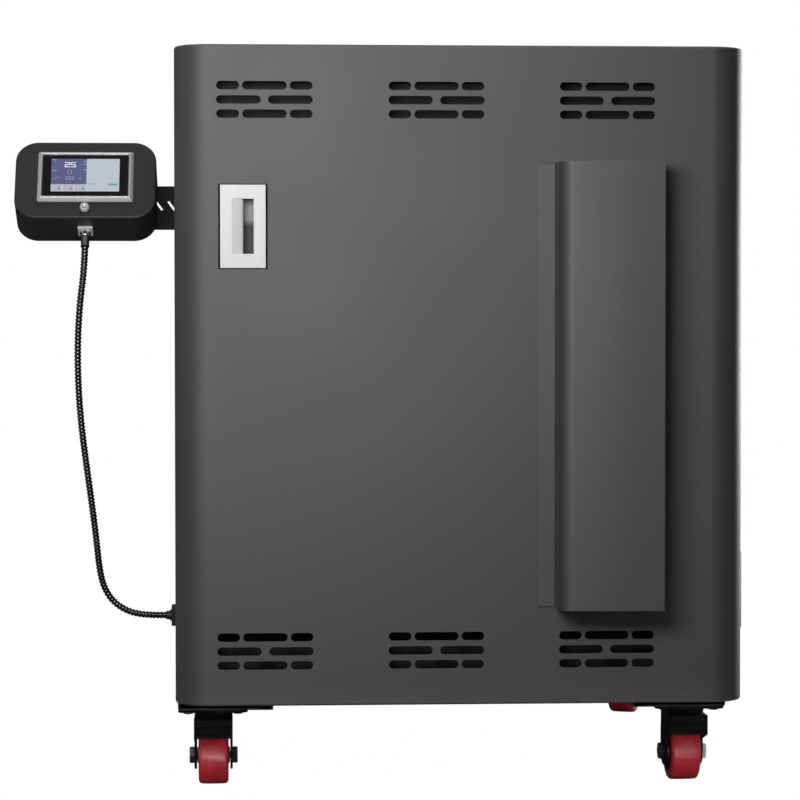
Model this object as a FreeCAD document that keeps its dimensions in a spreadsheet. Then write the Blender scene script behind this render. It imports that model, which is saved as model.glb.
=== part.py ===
import FreeCAD, Part
import math
import os

import Sketcher

# Front-loading pottery kiln on swivel casters, in millimetres.
# X runs to the right of the kiln, Y from its front to its back, Z up from the floor.
# The origin lies on the floor under the middle of the cabinet.

DOC = FreeCAD.newDocument("pottery_kiln")
SHEET = DOC.addObject("Spreadsheet::Sheet", "Sizes")
SUB_PARTS = []


class Size:
    """A length that knows its number and the sheet expression that gives it."""

    def __init__(self, number, text):
        self.number = float(number)
        self.text = text

    @staticmethod
    def of(amount):
        if isinstance(amount, Size):
            return amount
        return Size(amount, "(%.6f)" % amount)

    def joined(self, other, mark, number):
        return Size(number, "(%s %s %s)" % (self.text, mark, other.text))

    def __add__(self, other):
        other = Size.of(other)
        return self.joined(other, "+", self.number + other.number)

    def __sub__(self, other):
        other = Size.of(other)
        return self.joined(other, "-", self.number - other.number)

    def __mul__(self, other):
        other = Size.of(other)
        return self.joined(other, "*", self.number * other.number)

    def __truediv__(self, other):
        other = Size.of(other)
        return self.joined(other, "/", self.number / other.number)

    def __radd__(self, other):
        return Size.of(other) + self

    def __rsub__(self, other):
        return Size.of(other) - self

    def __rmul__(self, other):
        return Size.of(other) * self

    def __neg__(self):
        return Size(-self.number, "(-1 * %s)" % self.text)

    def __float__(self):
        return self.number


def size(alias, number):
    """Write one driving dimension into the sheet and return it."""
    row = size.rows = getattr(size, "rows", 0) + 1
    SHEET.set("A%d" % row, str(number))
    SHEET.setAlias("A%d" % row, alias)
    return Size(number, "Sizes." + alias)


def sine(angle):
    angle = Size.of(angle)
    return Size(math.sin(math.radians(angle.number)), "sin(%s * 1deg)" % angle.text)


def cosine(angle):
    angle = Size.of(angle)
    return Size(math.cos(math.radians(angle.number)), "cos(%s * 1deg)" % angle.text)


def bind(made, path, amount):
    """Tie a property to the sheet, or set it where it is a plain number."""
    made.setExpression(path, Size.of(amount).text)


def place(made, at, turn=None):
    """Give an object its place, and its turn as (axis, angle)."""
    axis, angle = turn if turn else ((0, 0, 1), 0)
    base = FreeCAD.Vector(*[float(v) for v in at])
    made.Placement = FreeCAD.Placement(base, FreeCAD.Rotation(FreeCAD.Vector(*axis), float(angle)))
    for letter, amount in zip("xyz", at):
        bind(made, "Placement.Base." + letter, amount)
    if isinstance(angle, Size):
        bind(made, "Placement.Rotation.Angle", angle)


def sub_part(made, label):
    """Name a finished piece and note it for the files."""
    made.Label = label
    SUB_PARTS.append(made)
    return made


# Blocks, rods and the ways that they are joined


def box(low, high, label="block"):
    made = DOC.addObject("Part::Box", label)
    for path, start, end in zip(("Length", "Width", "Height"), low, high):
        bind(made, path, end - start)
    place(made, low)
    return made


def rod(start, radius, length, axis="Z", label="rod"):
    """A cylinder that starts at a point and runs along a positive axis."""
    made = DOC.addObject("Part::Cylinder", label)
    bind(made, "Radius", radius)
    bind(made, "Height", length)
    turns = {"X": ((0, 1, 0), 90), "Y": ((1, 0, 0), -90), "Z": None}
    place(made, start, turns[axis])
    return made


def fuse(pieces, label="joined"):
    made = DOC.addObject("Part::MultiFuse", label)
    made.Shapes = pieces
    made.Refine = True
    return made


def group(pieces, label="group"):
    """Separate solids of one kind that share a node."""
    made = DOC.addObject("Part::Compound", label)
    made.Links = pieces
    return made


def cut(base, tools, label="trimmed"):
    tool = tools[0] if len(tools) == 1 else fuse(tools, label + "_tools")
    made = DOC.addObject("Part::Cut", label)
    made.Base = base
    made.Tool = tool
    return made


def round_part(base, radius, test, label="rounded"):
    """Round the edges of a Part object that pass a test."""
    DOC.recompute()
    made = DOC.addObject("Part::Fillet", label)
    made.Base = base
    picked = [n + 1 for n, edge in enumerate(base.Shape.Edges) if test(edge)]
    made.Edges = [(n, float(radius), float(radius)) for n in picked]
    return made


def along(edge, letter):
    """Whether an edge is straight and runs along one axis."""
    if edge.Curve.TypeId != "Part::GeomLine":
        return False
    return abs(abs(getattr(edge.Curve.Direction, letter)) - 1) < 1e-6


def near(value, target):
    return abs(value - float(target)) < 0.01


# Sketched bodies


def body(label):
    return DOC.addObject("PartDesign::Body", label)


def sketch_on(owner, role, offset=0, rise=0):
    """A sketch on one of the body's origin planes, moved out along the plane's normal."""
    plane = next(part for part in owner.Origin.OriginFeatures if part.Role == role)
    made = owner.newObject("Sketcher::SketchObject", owner.Name + "_sketch")
    made.AttachmentSupport = [(plane, "")]
    made.MapMode = "FlatFace"
    bind(made, "AttachmentOffset.Base.y", rise)
    bind(made, "AttachmentOffset.Base.z", offset)
    return made


class Outline:
    """Gathers a sketch's edges and constraints, and hands them over together."""

    def __init__(self, sketch):
        self.sketch = sketch
        self.edges = []
        self.rules = []
        self.amounts = []

    def add(self, edge):
        self.edges.append(edge)
        return len(self.edges) - 1

    def rule(self, *words):
        self.rules.append(Sketcher.Constraint(*words))
        return len(self.rules) - 1

    def fix(self, edge, end, point):
        """Hold one vertex at its distances from the sketch's origin."""
        for kind, amount, axis in zip(("DistanceX", "DistanceY"), point, (-2, -1)):
            if abs(float(amount)) < 1e-7:
                self.rule("PointOnObject", edge, end, axis)
            else:
                index = self.rule(kind, -1, 1, edge, end, float(amount))
                self.amounts.append((index, amount))

    def radius(self, edge, amount):
        index = self.rule("Radius", edge, float(amount))
        self.amounts.append((index, amount))

    def done(self):
        self.sketch.addGeometry(self.edges, False)
        self.sketch.addConstraint(self.rules)
        for index, amount in self.amounts:
            bind(self.sketch, "Constraints[%d]" % index, amount)
        return self.sketch


def polygon(sketch, points):
    """A closed outline whose every corner is held by its own two distances."""
    outline = Outline(sketch)
    count = len(points)
    ends = [FreeCAD.Vector(float(x), float(y), 0) for x, y in points]
    for n in range(count):
        outline.add(Part.LineSegment(ends[n], ends[(n + 1) % count]))
    for n in range(count):
        outline.rule("Coincident", n, 2, (n + 1) % count, 1)
        outline.fix(n, 1, points[n])
    return outline.done()


def rectangle(low, high):
    return [low, (high[0], low[1]), high, (low[0], high[1])]


def circles(sketch, centres, radius):
    outline = Outline(sketch)
    for centre in centres:
        middle = FreeCAD.Vector(float(centre[0]), float(centre[1]), 0)
        ring = outline.add(Part.Circle(middle, FreeCAD.Vector(0, 0, 1), float(radius)))
        outline.fix(ring, 3, centre)
        outline.radius(ring, radius)
    return outline.done()


def slot(outline, centre, length, width):
    """A level slot with full-round ends."""
    reach = (length - width) / 2
    radius = width / 2
    x, y = centre
    normal = FreeCAD.Vector(0, 0, 1)
    middles = [FreeCAD.Vector(float(x + reach * side), float(y), 0) for side in (-1, 1)]
    lift = FreeCAD.Vector(0, float(radius), 0)
    quarter = math.pi / 2
    left = outline.add(Part.ArcOfCircle(Part.Circle(middles[0], normal, lift.y), quarter, 3 * quarter))
    right = outline.add(Part.ArcOfCircle(Part.Circle(middles[1], normal, lift.y), -quarter, quarter))
    low = outline.add(Part.LineSegment(middles[0] - lift, middles[1] - lift))
    high = outline.add(Part.LineSegment(middles[1] + lift, middles[0] + lift))
    for one, other in ((left, low), (low, right), (right, high), (high, left)):
        outline.rule("Tangent", one, 2, other, 1)
    outline.rule("Equal", left, right)
    outline.fix(left, 3, (x - reach, y))
    outline.fix(right, 3, (x + reach, y))
    outline.radius(left, radius)


def pad(owner, sketch, length, backwards=False):
    made = owner.newObject("PartDesign::Pad", owner.Name + "_pad")
    made.Profile = sketch
    made.Reversed = backwards
    bind(made, "Length", length)
    sketch.Visibility = False
    return made


def pocket(owner, sketch, depth, backwards=False):
    """Cut a sketch into its body, and prove that the body lost material."""
    DOC.recompute()
    before = owner.Shape.Volume
    made = owner.newObject("PartDesign::Pocket", owner.Name + "_pocket")
    made.Profile = sketch
    made.Reversed = backwards
    bind(made, "Length", depth)
    DOC.recompute()
    if owner.Shape.Volume > before - 1e-3:
        raise RuntimeError("a pocket of %s cuts nothing" % owner.Label)
    return made


def revolve(owner, sketch, axis="H_Axis"):
    made = owner.newObject("PartDesign::Revolution", owner.Name + "_turned")
    made.Profile = sketch
    made.ReferenceAxis = (sketch, [axis])
    made.Angle = 360
    return made


def repeat(owner, feature, sketch, axis, spacing, count):
    """Copies of a feature in a line, at an even spacing."""
    DOC.recompute()
    made = owner.newObject("PartDesign::LinearPattern", owner.Name + "_row")
    made.Originals = [feature]
    made.Direction = (sketch, [axis])
    made.Occurrences = count
    bind(made, "Length", spacing * (count - 1))
    owner.Tip = made
    return made


def round_body(owner, radius, test):
    """Round the edges of a body's tip that pass a test."""
    DOC.recompute()
    tip = owner.Tip
    names = ["Edge%d" % (n + 1) for n, edge in enumerate(tip.Shape.Edges) if test(edge)]
    made = owner.newObject("PartDesign::Fillet", owner.Name + "_round")
    made.Base = (tip, names)
    bind(made, "Radius", radius)
    return made


def hollow_out(owner, wall, test):
    """Turn a solid body into a sheet shell that is open at the faces that pass a test."""
    DOC.recompute()
    tip = owner.Tip
    names = ["Face%d" % (n + 1) for n, face in enumerate(tip.Shape.Faces) if test(face)]
    made = owner.newObject("PartDesign::Thickness", owner.Name + "_shell")
    made.Base = (tip, names)
    made.Reversed = True
    bind(made, "Value", wall)
    return made


def block_body(label, low, high):
    """A sketched plate or block between two corners."""
    made = body(label)
    outline = sketch_on(made, "XY_Plane", low[2])
    polygon(outline, rectangle((low[0], low[1]), (high[0], high[1])))
    pad(made, outline, high[2] - low[2])
    return made


def hexagon(centre, across_flats, start, length, label="hexagon"):
    """A hexagonal bar along X, with two of its flats level."""
    made = DOC.addObject("Part::Prism", label)
    made.Polygon = 6
    bind(made, "Circumradius", across_flats / math.sqrt(3))
    bind(made, "Height", length)
    place(made, (start, centre[0], centre[1]), ((0, 1, 0), 90))
    return made


# Driving dimensions of the cabinet

cabinet_width = size("cabinet_width", 715)
cabinet_height = size("cabinet_height", 820.6)
cabinet_depth = size("cabinet_depth", 870)
door_depth = size("door_depth", 125)
door_gap = size("door_gap", 4)
corner_radius = size("corner_radius", 45)
sheet = size("sheet_thickness", 1.5)
frame_plate = size("front_frame_thickness", 3)
fit_gap = size("seat_clearance", 0.3)
running_gap = size("running_clearance", 0.05)

caster_height = size("caster_height", 107.2)
rail_height = size("rail_height", 26.2)
rail_width = size("rail_width", 123.5)
rail_wall = size("rail_wall", 2.5)
rail_setback = size("rail_setback", 150)
cross_height = size("cross_rail_height", 20)
cross_width = size("cross_rail_width", 40)

side_air_gap = size("side_air_gap", 28.5)
top_air_gap = size("top_air_gap", 42.6)
rear_bay = size("rear_bay_depth", 159)
brick = size("brick_thickness", 76)
fibre = size("fibre_thickness", 50)
base_gap = size("base_air_gap", 20)
frame_lap = size("front_frame_lap", 12)

half_width = cabinet_width / 2
front = -cabinet_depth / 2
back = cabinet_depth / 2
door_back = front + door_depth
body_front = door_back + door_gap
brick_front = body_front + frame_plate
cabinet_bottom = caster_height + rail_height
cabinet_top = cabinet_bottom + cabinet_height

chamber_floor = cabinet_bottom + sheet + base_gap + sheet + fibre + brick
chamber_roof = cabinet_top - sheet - top_air_gap - sheet - fibre - brick
chamber_height = chamber_roof - chamber_floor
chamber_half = half_width - sheet - side_air_gap - sheet - fibre - brick
chamber_back = back - sheet - rear_bay - sheet - fibre - brick
brick_half = chamber_half + brick
brick_low = chamber_floor - brick
brick_high = chamber_roof + brick
brick_back = chamber_back + brick
fibre_half = brick_half + fibre
fibre_low = brick_low - fibre
fibre_high = brick_high + fibre
fibre_back = brick_back + fibre
casing_half = fibre_half + sheet
casing_low = fibre_low - sheet
casing_high = fibre_high + sheet
casing_back = fibre_back + sheet

# Heating wire and its grooves

wire = size("heating_coil_diameter", 10)
wire_bend = size("heating_coil_bend_radius", 6.5)
groove = size("groove_width", 14)
side_runs = 6
side_run_margin = size("side_groove_margin", 60)
front_run_margin = size("groove_end_margin", 40)
door_runs = 4
tail_gap = size("wire_tail_gap", 1)
tail_length = size("wire_tail_length", 22)

# Base, with its rails and cross rails


def base_frame():
    inner = half_width - rail_width
    low = caster_height
    rails = []
    for side in (-1, 1):
        near_side = inner if side > 0 else -half_width
        far_side = near_side + rail_width
        outer = box((near_side, front + rail_setback, low), (far_side, back, cabinet_bottom))
        hole = box(
            (near_side + rail_wall, front + rail_setback - 1, low + rail_wall),
            (far_side - rail_wall, back + 1, cabinet_bottom - rail_wall),
        )
        rails.append(cut(outer, [hole], "rail"))
    for start in (front + rail_setback, back - cross_width):
        cross_low = cabinet_bottom - cross_height
        outer = box((-inner, start, cross_low), (inner, start + cross_width, cabinet_bottom))
        hole = box(
            (-inner - 1, start + rail_wall, cross_low + rail_wall),
            (inner + 1, start + cross_width - rail_wall, cabinet_bottom - rail_wall),
        )
        rails.append(cut(outer, [hole], "cross_rail"))
    return sub_part(fuse(rails), "base_frame")


def outer_shell():
    """One sheet folded over the left side, the top and the right side."""
    inside = half_width - sheet
    outer = box((-half_width, body_front, cabinet_bottom), (half_width, back - sheet, cabinet_top))
    space = box((-inside, body_front - 1, cabinet_bottom - 1), (inside, back, cabinet_top - sheet))
    hole_y = front + gland_setback
    hole = rod((-half_width - 1, hole_y, conduit_low), gland_thread_radius + fit_gap, sheet + 2, "X")
    return sub_part(cut(outer, [space, hole]), "outer_shell")


spacer_width = size("spacer_width", 45)
spacer_count = 3


def bottom_panel():
    """The floor sheet, with three spacer channels that carry the inner casing."""
    inside = half_width - sheet
    low = cabinet_bottom
    panel = box((-inside, body_front, low), (inside, back - sheet, low + sheet))
    channels = [panel]
    first = brick_front + spacer_width
    pitch = (casing_back - brick_front - spacer_width * 3) / (spacer_count - 1)
    for n in range(spacer_count):
        start = first + pitch * n
        end = start + spacer_width
        outer = box((-casing_half, start, low + sheet), (casing_half, end, casing_low))
        hole = box(
            (-casing_half - 1, start + sheet, low + sheet + sheet),
            (casing_half + 1, end - sheet, casing_low - sheet),
        )
        channels.append(cut(outer, [hole], "spacer"))
    return sub_part(fuse(channels), "bottom_panel")


# Vents, in groups of three rows

vent_spacing = size("vent_group_spacing", 213.1)
vent_middle = size("vent_middle_offset", -31.8)
vent_edge = size("vent_edge_distance", 68.4)
vent_pitch = size("vent_row_pitch", 17.5)
vent_height = size("vent_slot_height", 10.4)
vent_long = size("vent_long_slot", 55)
vent_short = size("vent_short_slot", 28)
vent_outer = size("vent_outer_slot_offset", 45.4)
vent_inner = size("vent_inner_slot_offset", 32.1)
vent_groups = 3


def vent_group(sketch, centre):
    """One group: short, long and short slots above and below two long ones."""
    outline = Outline(sketch)
    x, z = centre
    for row in (-1, 1):
        level = z + vent_pitch * row
        slot(outline, (x, level), vent_long, vent_height)
        for side in (-1, 1):
            slot(outline, (x + vent_outer * side, level), vent_short, vent_height)
    for side in (-1, 1):
        slot(outline, (x + vent_inner * side, z), vent_long, vent_height)
    return outline.done()


def vent_rows(owner, face, levels):
    """Rows of three vent groups through a sheet whose outer face lies at a depth."""
    for level in levels:
        sketch = sketch_on(owner, "XZ_Plane", -face)
        vent_group(sketch, (vent_middle - vent_spacing, level))
        opened = pocket(owner, sketch, sheet * 2)
        repeat(owner, opened, sketch, "H_Axis", vent_spacing, vent_groups)


inlet_x = size("inlet_offset", 270)
inlet_z = cabinet_bottom + size("inlet_rise", 70)
inlet_thread_radius = size("inlet_thread_radius", 10)
inlet_bore = size("inlet_bore_radius", 7)
inlet_nut = size("inlet_nut_radius", 14)
inlet_length = size("inlet_length", 36)
inlet_inside = size("inlet_inside_length", 12)
inlet_flange = size("inlet_flange_length", 9)
inlet_lock = size("inlet_lock_nut_length", 6)


def rear_panel():
    low = (-half_width, back - sheet, cabinet_bottom)
    made = block_body("rear_panel", low, (half_width, back, cabinet_top))
    vent_rows(made, back - sheet, (cabinet_top - vent_edge, cabinet_bottom + vent_edge * 2))
    outline = sketch_on(made, "XZ_Plane", -(back - sheet))
    circles(outline, [(inlet_x, inlet_z)], inlet_thread_radius + fit_gap)
    pocket(made, outline, sheet * 2)
    return sub_part(made, "rear_panel")


def power_cable_gland():
    """Threaded body through the rear panel, with a nut on each side and a clear bore."""
    inside = back - sheet
    start = inside - inlet_inside
    thread = rod((inlet_x, start, inlet_z), inlet_thread_radius, inlet_length, "Y")
    flange = rod((inlet_x, back, inlet_z), inlet_nut, inlet_flange, "Y")
    lock = rod((inlet_x, inside - inlet_lock, inlet_z), inlet_nut, inlet_lock, "Y")
    bore = rod((inlet_x, start - 1, inlet_z), inlet_bore, inlet_length + 2, "Y")
    return sub_part(cut(fuse([thread, flange, lock]), [bore]), "power_cable_gland")


def front_frame():
    """The steel ring that closes the space between the shell and the mouth."""
    inside = half_width - sheet
    mouth = brick_half - frame_lap
    ring = body("front_frame")
    outline = sketch_on(ring, "XZ_Plane", -body_front)
    polygon(outline, rectangle((-inside, cabinet_bottom + sheet), (inside, cabinet_top - sheet)))
    pad(ring, outline, frame_plate, backwards=True)
    outline = sketch_on(ring, "XZ_Plane", -body_front)
    polygon(outline, rectangle((-mouth, brick_low + frame_lap), (mouth, brick_high - frame_lap)))
    pocket(ring, outline, frame_plate * 2)
    return sub_part(ring, "front_frame")


# Inner casing, fibre and brick lining


def rear_holes():
    """Cutters for the wire tails and the thermocouple, through everything behind the chamber."""
    start = chamber_back - 1
    length = casing_back - start + 1
    cutters = []
    for side in (-1, 1):
        for level in (run_level(0), run_level(side_runs - 1)):
            cutters.append(rod((wire_x * side, start, level), wire / 2 + tail_gap, length, "Y"))
    cutters.append(rod((0, start, thermo_level), thermo_radius + fit_gap, length, "Y"))
    return cutters


def inner_casing():
    outer = box((-casing_half, brick_front, casing_low), (casing_half, casing_back, casing_high))
    space = box((-fibre_half, brick_front - 1, fibre_low), (fibre_half, fibre_back, fibre_high))
    return sub_part(cut(outer, [space] + rear_holes()), "inner_casing")


def fibre_insulation():
    outer = box((-fibre_half, brick_front, fibre_low), (fibre_half, fibre_back, fibre_high))
    space = box((-brick_half, brick_front - 1, brick_low), (brick_half, brick_back, brick_high))
    return sub_part(cut(outer, [space] + rear_holes()), "fibre_insulation")


wire_x = chamber_half + groove - wire / 2 - fit_gap
thermo_radius = size("thermocouple_radius", 4)
thermo_level = chamber_roof - size("thermocouple_drop", 110)
thermo_reach = size("thermocouple_reach", 30)
thermo_head_radius = size("thermocouple_head_radius", 16)
thermo_head_length = size("thermocouple_head_length", 20)


def run_level(n):
    """Height of the middle of one level groove in a side wall, from the top."""
    span = chamber_height - side_run_margin * 2
    return chamber_roof - side_run_margin - span * (n / (side_runs - 1.0))


def side_grooves(side):
    """Level grooves in a side wall, joined in turn at the front and at the back."""
    first = brick_front + front_run_margin
    last = chamber_back - front_run_margin
    inner = chamber_half - 1
    outer = chamber_half + groove
    low_x, high_x = (inner, outer) if side > 0 else (-outer, -inner)
    half = groove / 2
    cutters = []
    for n in range(side_runs):
        level = run_level(n) + groove / 2 - wire / 2 - fit_gap
        outermost = n in (0, side_runs - 1)
        end = chamber_back if outermost else last + half
        cutters.append(box((low_x, first - half, level - half), (high_x, end, level + half)))
    for n in range(side_runs - 1):
        middle = first if n % 2 == 0 else last
        below = run_level(n + 1)
        cutters.append(box((low_x, middle - half, below), (high_x, middle + half, run_level(n))))
    return cutters


def lining_side(side, label):
    low_x, high_x = (chamber_half, brick_half) if side > 0 else (-brick_half, -chamber_half)
    slab = box((low_x, brick_front, chamber_floor), (high_x, brick_back, chamber_roof))
    return sub_part(cut(slab, side_grooves(side) + rear_holes()), label)


def lining():
    """Five slabs of soft brick round the chamber."""
    levels = {"lining_floor": (brick_low, chamber_floor), "lining_roof": (chamber_roof, brick_high)}
    for label, (low, high) in levels.items():
        sub_part(box((-brick_half, brick_front, low), (brick_half, brick_back, high)), label)
    lining_side(-1, "lining_left")
    lining_side(1, "lining_right")
    rear = box((-chamber_half, chamber_back, chamber_floor), (chamber_half, brick_back, chamber_roof))
    sub_part(cut(rear, rear_holes()), "lining_rear")


def bent_wire(points, radius, bend):
    """A round wire along straight runs that are joined by tangent arcs."""
    edges = rounded_path(points, lambda n: bend)
    path = Part.Wire(edges)
    start = edges[0].valueAt(edges[0].FirstParameter)
    heading = edges[0].tangentAt(edges[0].FirstParameter)
    ring = Part.Wire([Part.Circle(start, heading, radius).toShape()])
    return path.makePipeShell([ring], True, False)


def rounded_path(points, bend_at):
    """Edges along a list of points, with an arc at each inner point."""
    edges = []
    here = points[0]
    for n in range(1, len(points) - 1):
        before = (points[n - 1] - points[n]).normalize()
        after = (points[n + 1] - points[n]).normalize()
        half_turn = (math.pi - before.getAngle(after)) / 2
        radius = bend_at(n)
        back_off = radius * math.tan(half_turn)
        start = points[n] + before * back_off
        end = points[n] + after * back_off
        inward = (before + after).normalize()
        middle = points[n] + inward * (radius / math.cos(half_turn) - radius)
        edges.append(Part.LineSegment(here, start).toShape())
        edges.append(Part.Arc(start, middle, end).toShape())
        here = end
    edges.append(Part.LineSegment(here, points[-1]).toShape())
    return edges


def feature(shape, label):
    made = DOC.addObject("Part::Feature", label)
    made.Shape = shape
    return sub_part(made, label)


def side_element(side, label):
    """The heating wire of one side wall, from its upper tail to its lower tail."""
    first = float(brick_front + front_run_margin)
    last = float(chamber_back - front_run_margin)
    tail = float(casing_back + tail_length)
    x = side * float(wire_x)
    points = [FreeCAD.Vector(x, tail, float(run_level(0)))]
    for n in range(side_runs):
        level = float(run_level(n))
        ends = (last, first) if n % 2 == 0 else (first, last)
        if n > 0:
            points.append(FreeCAD.Vector(x, ends[0], level))
        if n < side_runs - 1:
            points.append(FreeCAD.Vector(x, ends[1], level))
    points.append(FreeCAD.Vector(x, tail, float(run_level(side_runs - 1))))
    return feature(bent_wire(points, float(wire / 2), float(wire_bend)), label)


terminal_wide = size("terminal_width", 34)
terminal_tall = size("terminal_height", 30)
terminal_deep = size("terminal_depth", 30)
strip_half = size("mains_strip_half_width", 68)
strip_rise = size("mains_strip_rise", 90)


def thermocouple():
    """A closed ceramic sheath through the rear wall, with its head on the casing."""
    start = chamber_back - thermo_reach
    sheath = rod((0, start, thermo_level), thermo_radius, casing_back - start + 1, "Y")
    head = rod((0, casing_back, thermo_level), thermo_head_radius, thermo_head_length, "Y")
    return sub_part(fuse([sheath, head]), "thermocouple")


shelf_side_gap = size("shelf_side_gap", 20)
shelf_front_gap = size("shelf_front_gap", 27)
shelf_thick = size("shelf_thickness", 15)
prop_height = size("shelf_prop_height", 25)
prop_radius = size("shelf_prop_radius", 15)
prop_inset = size("shelf_prop_inset", 35)
shelf_back_gap = size("shelf_back_gap", 18)


def kiln_shelf():
    """A ceramic shelf on three short props."""
    y_high = chamber_back - shelf_back_gap
    y_low = plug_face + shelf_front_gap
    low = chamber_floor + prop_height
    half = chamber_half - shelf_side_gap
    slab = box((-half, y_low, low), (half, y_high, low + shelf_thick))
    reach = half - prop_inset
    spots = ((-reach, y_low + prop_inset), (reach, y_low + prop_inset), (0, y_high - prop_inset))
    props = [rod((x, y, chamber_floor), prop_radius, prop_height) for x, y in spots]
    return sub_part(group([slab] + props), "kiln_shelf")


# Electrics in the rear bay

plate_y = casing_back + size("electrics_plate_gap", 60.25)
plate_wide = size("electrics_plate_width", 460)
plate_tall = size("electrics_plate_height", 480)
plate_foot = size("electrics_plate_foot", 30)
plate_thick = size("electrics_plate_thickness", 2)
sink_wide = size("heat_sink_width", 130)
sink_tall = size("heat_sink_height", 150)
sink_base = size("heat_sink_base", 6)
sink_fin = size("heat_sink_fin_length", 30)
sink_level = cabinet_bottom + size("heat_sink_rise", 300)
fin_thick = size("heat_sink_fin_thickness", 3)
fin_count = 9
relay_wide = size("relay_width", 45)
relay_tall = size("relay_height", 58)
relay_deep = size("relay_depth", 28)


def electrics_plate():
    """An upright sheet with a folded foot on the floor sheet."""
    low = cabinet_bottom + sheet
    plate = body("electrics_plate")
    outline = sketch_on(plate, "YZ_Plane", -plate_wide / 2)
    end = plate_y + plate_thick
    corners = [
        (plate_y, low),
        (plate_y + plate_foot, low),
        (plate_y + plate_foot, low + plate_thick),
        (end, low + plate_thick),
        (end, low + plate_tall),
        (plate_y, low + plate_tall),
    ]
    polygon(outline, corners)
    pad(plate, outline, plate_wide)
    return sub_part(plate, "electrics_plate")


def heat_sink():
    """Upright fins that stand on the plate, under one base."""
    y = plate_y + plate_thick
    made = body("heat_sink")
    outline = sketch_on(made, "XY_Plane", sink_level)
    polygon(outline, rectangle((-sink_wide / 2, y + sink_fin), (sink_wide / 2, y + sink_fin + sink_base)))
    pad(made, outline, sink_tall)
    fin = sketch_on(made, "XY_Plane", sink_level)
    polygon(fin, rectangle((-sink_wide / 2, y), (-sink_wide / 2 + fin_thick, y + sink_fin)))
    fins = pad(made, fin, sink_tall)
    repeat(made, fins, fin, "H_Axis", (sink_wide - fin_thick) / (fin_count - 1), fin_count)
    return sub_part(made, "heat_sink")


def power_relays():
    y = plate_y + plate_thick + sink_fin + sink_base
    low = sink_level + (sink_tall - relay_tall) / 2
    blocks = []
    for side in (-1, 1):
        x = sink_wide / 4 * side - relay_wide / 2
        blocks.append(box((x, y, low), (x + relay_wide, y + relay_deep, low + relay_tall)))
    return sub_part(group(blocks), "power_relays")


def terminal_blocks():
    """A ceramic block over each wire tail, and the mains strip on the plate."""
    blocks = []
    for side in (-1, 1):
        for level in (run_level(0), run_level(side_runs - 1)):
            x = wire_x * side
            block = box(
                (x - terminal_wide / 2, casing_back, level - terminal_tall / 2),
                (x + terminal_wide / 2, casing_back + terminal_deep, level + terminal_tall / 2),
            )
            hole = rod((x, casing_back - 1, level), wire / 2 + fit_gap, tail_length + 1 + fit_gap, "Y")
            blocks.append(cut(block, [hole], "terminal"))
    y = plate_y + plate_thick
    low = cabinet_bottom + strip_rise
    blocks.append(box((-strip_half, y, low), (strip_half, y + terminal_deep, low + terminal_tall)))
    return sub_part(group(blocks), "terminal_blocks")


# Door


def door_hole(level, start, end):
    return rod((door_tail_x, start, level), wire / 2 + tail_gap, end - start, "Y")


handle_x = -half_width + size("handle_inset", 85.8)
handle_z = cabinet_top - size("handle_drop", 224.9)
handle_wide = size("handle_width", 56.4)
handle_tall = size("handle_height", 103)
handle_proud = size("handle_proud", 2.5)
recess_wide = size("recess_width", 26.4)
recess_tall = size("recess_height", 67.9)
recess_deep = size("recess_depth", 27)
recess_slant = size("recess_slant", 10.5)
recess_shift = size("recess_shift", 0.5)
cup_wall = size("cup_wall", 2)

cover_right = half_width - size("cover_right_inset", 112)
cover_left = cover_right - size("cover_width", 129.3)
cover_deep = size("cover_depth", 60.6)
cover_top_drop = size("cover_top_drop", 145.8)
cover_foot_rise = size("cover_foot_rise", 121.9)
cover_bend = size("cover_bend_radius", 17.8)
cover_flange = size("cover_flange_width", 21.5)
cover_low = cabinet_bottom + cover_foot_rise
cover_high = cabinet_top - cover_top_drop

tray_half = fibre_half + sheet
plug_gap = size("plug_clearance", 6)
plug_reach = size("plug_reach", 42)
plug_flange = size("plug_flange", 34)
door_brick = size("door_brick_thickness", 40)
door_fibre_thick = size("door_fibre_thickness", 48)
door_tray_front = door_back - door_brick - door_fibre_thick - sheet
plug_half = chamber_half - plug_gap
plug_base_half = plug_half + plug_flange
plug_low = chamber_floor + plug_gap
plug_high = chamber_roof - plug_gap
plug_face = door_back + plug_reach
door_run_margin = size("door_groove_margin", 70)
door_side_margin = size("door_groove_side_margin", 20)
door_tail_x = (cover_left + cover_right) / 2 - size("door_tail_shift", 22)
door_wire_y = plug_face - groove + wire / 2 + fit_gap


def door_run_level(n):
    span = plug_high - plug_low - door_run_margin * 2
    return plug_high - door_run_margin - span * (n / (door_runs - 1.0))


def door_tail_levels():
    return door_run_level(0), door_run_level(door_runs - 1)


def door_shell():
    """The outer sheet of the door: one deep tray with rounded upright edges."""
    low = (-half_width, front, cabinet_bottom)
    made = block_body("door_shell", low, (half_width, door_back, cabinet_top))
    round_body(made, corner_radius, lambda edge: along(edge, "z") and near(edge.CenterOfMass.y, front))
    hollow_out(made, sheet, lambda face: near(face.CenterOfMass.y, door_back))
    opening = sketch_on(made, "XZ_Plane", -front)
    reach = (recess_wide / 2 + cup_wall + fit_gap, recess_tall / 2 + cup_wall + fit_gap)
    x = handle_x + recess_shift
    polygon(opening, rectangle((x - reach[0], handle_z - reach[1]), (x + reach[0], handle_z + reach[1])))
    pocket(made, opening, sheet * 2)
    holes = sketch_on(made, "XZ_Plane", -front)
    circles(holes, [(door_tail_x, level) for level in door_tail_levels()], wire / 2 + tail_gap)
    pocket(made, holes, sheet * 2)
    vent_rows(made, front, (cabinet_top - vent_edge, cabinet_bottom + vent_edge))
    return sub_part(made, "door_shell")


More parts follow.
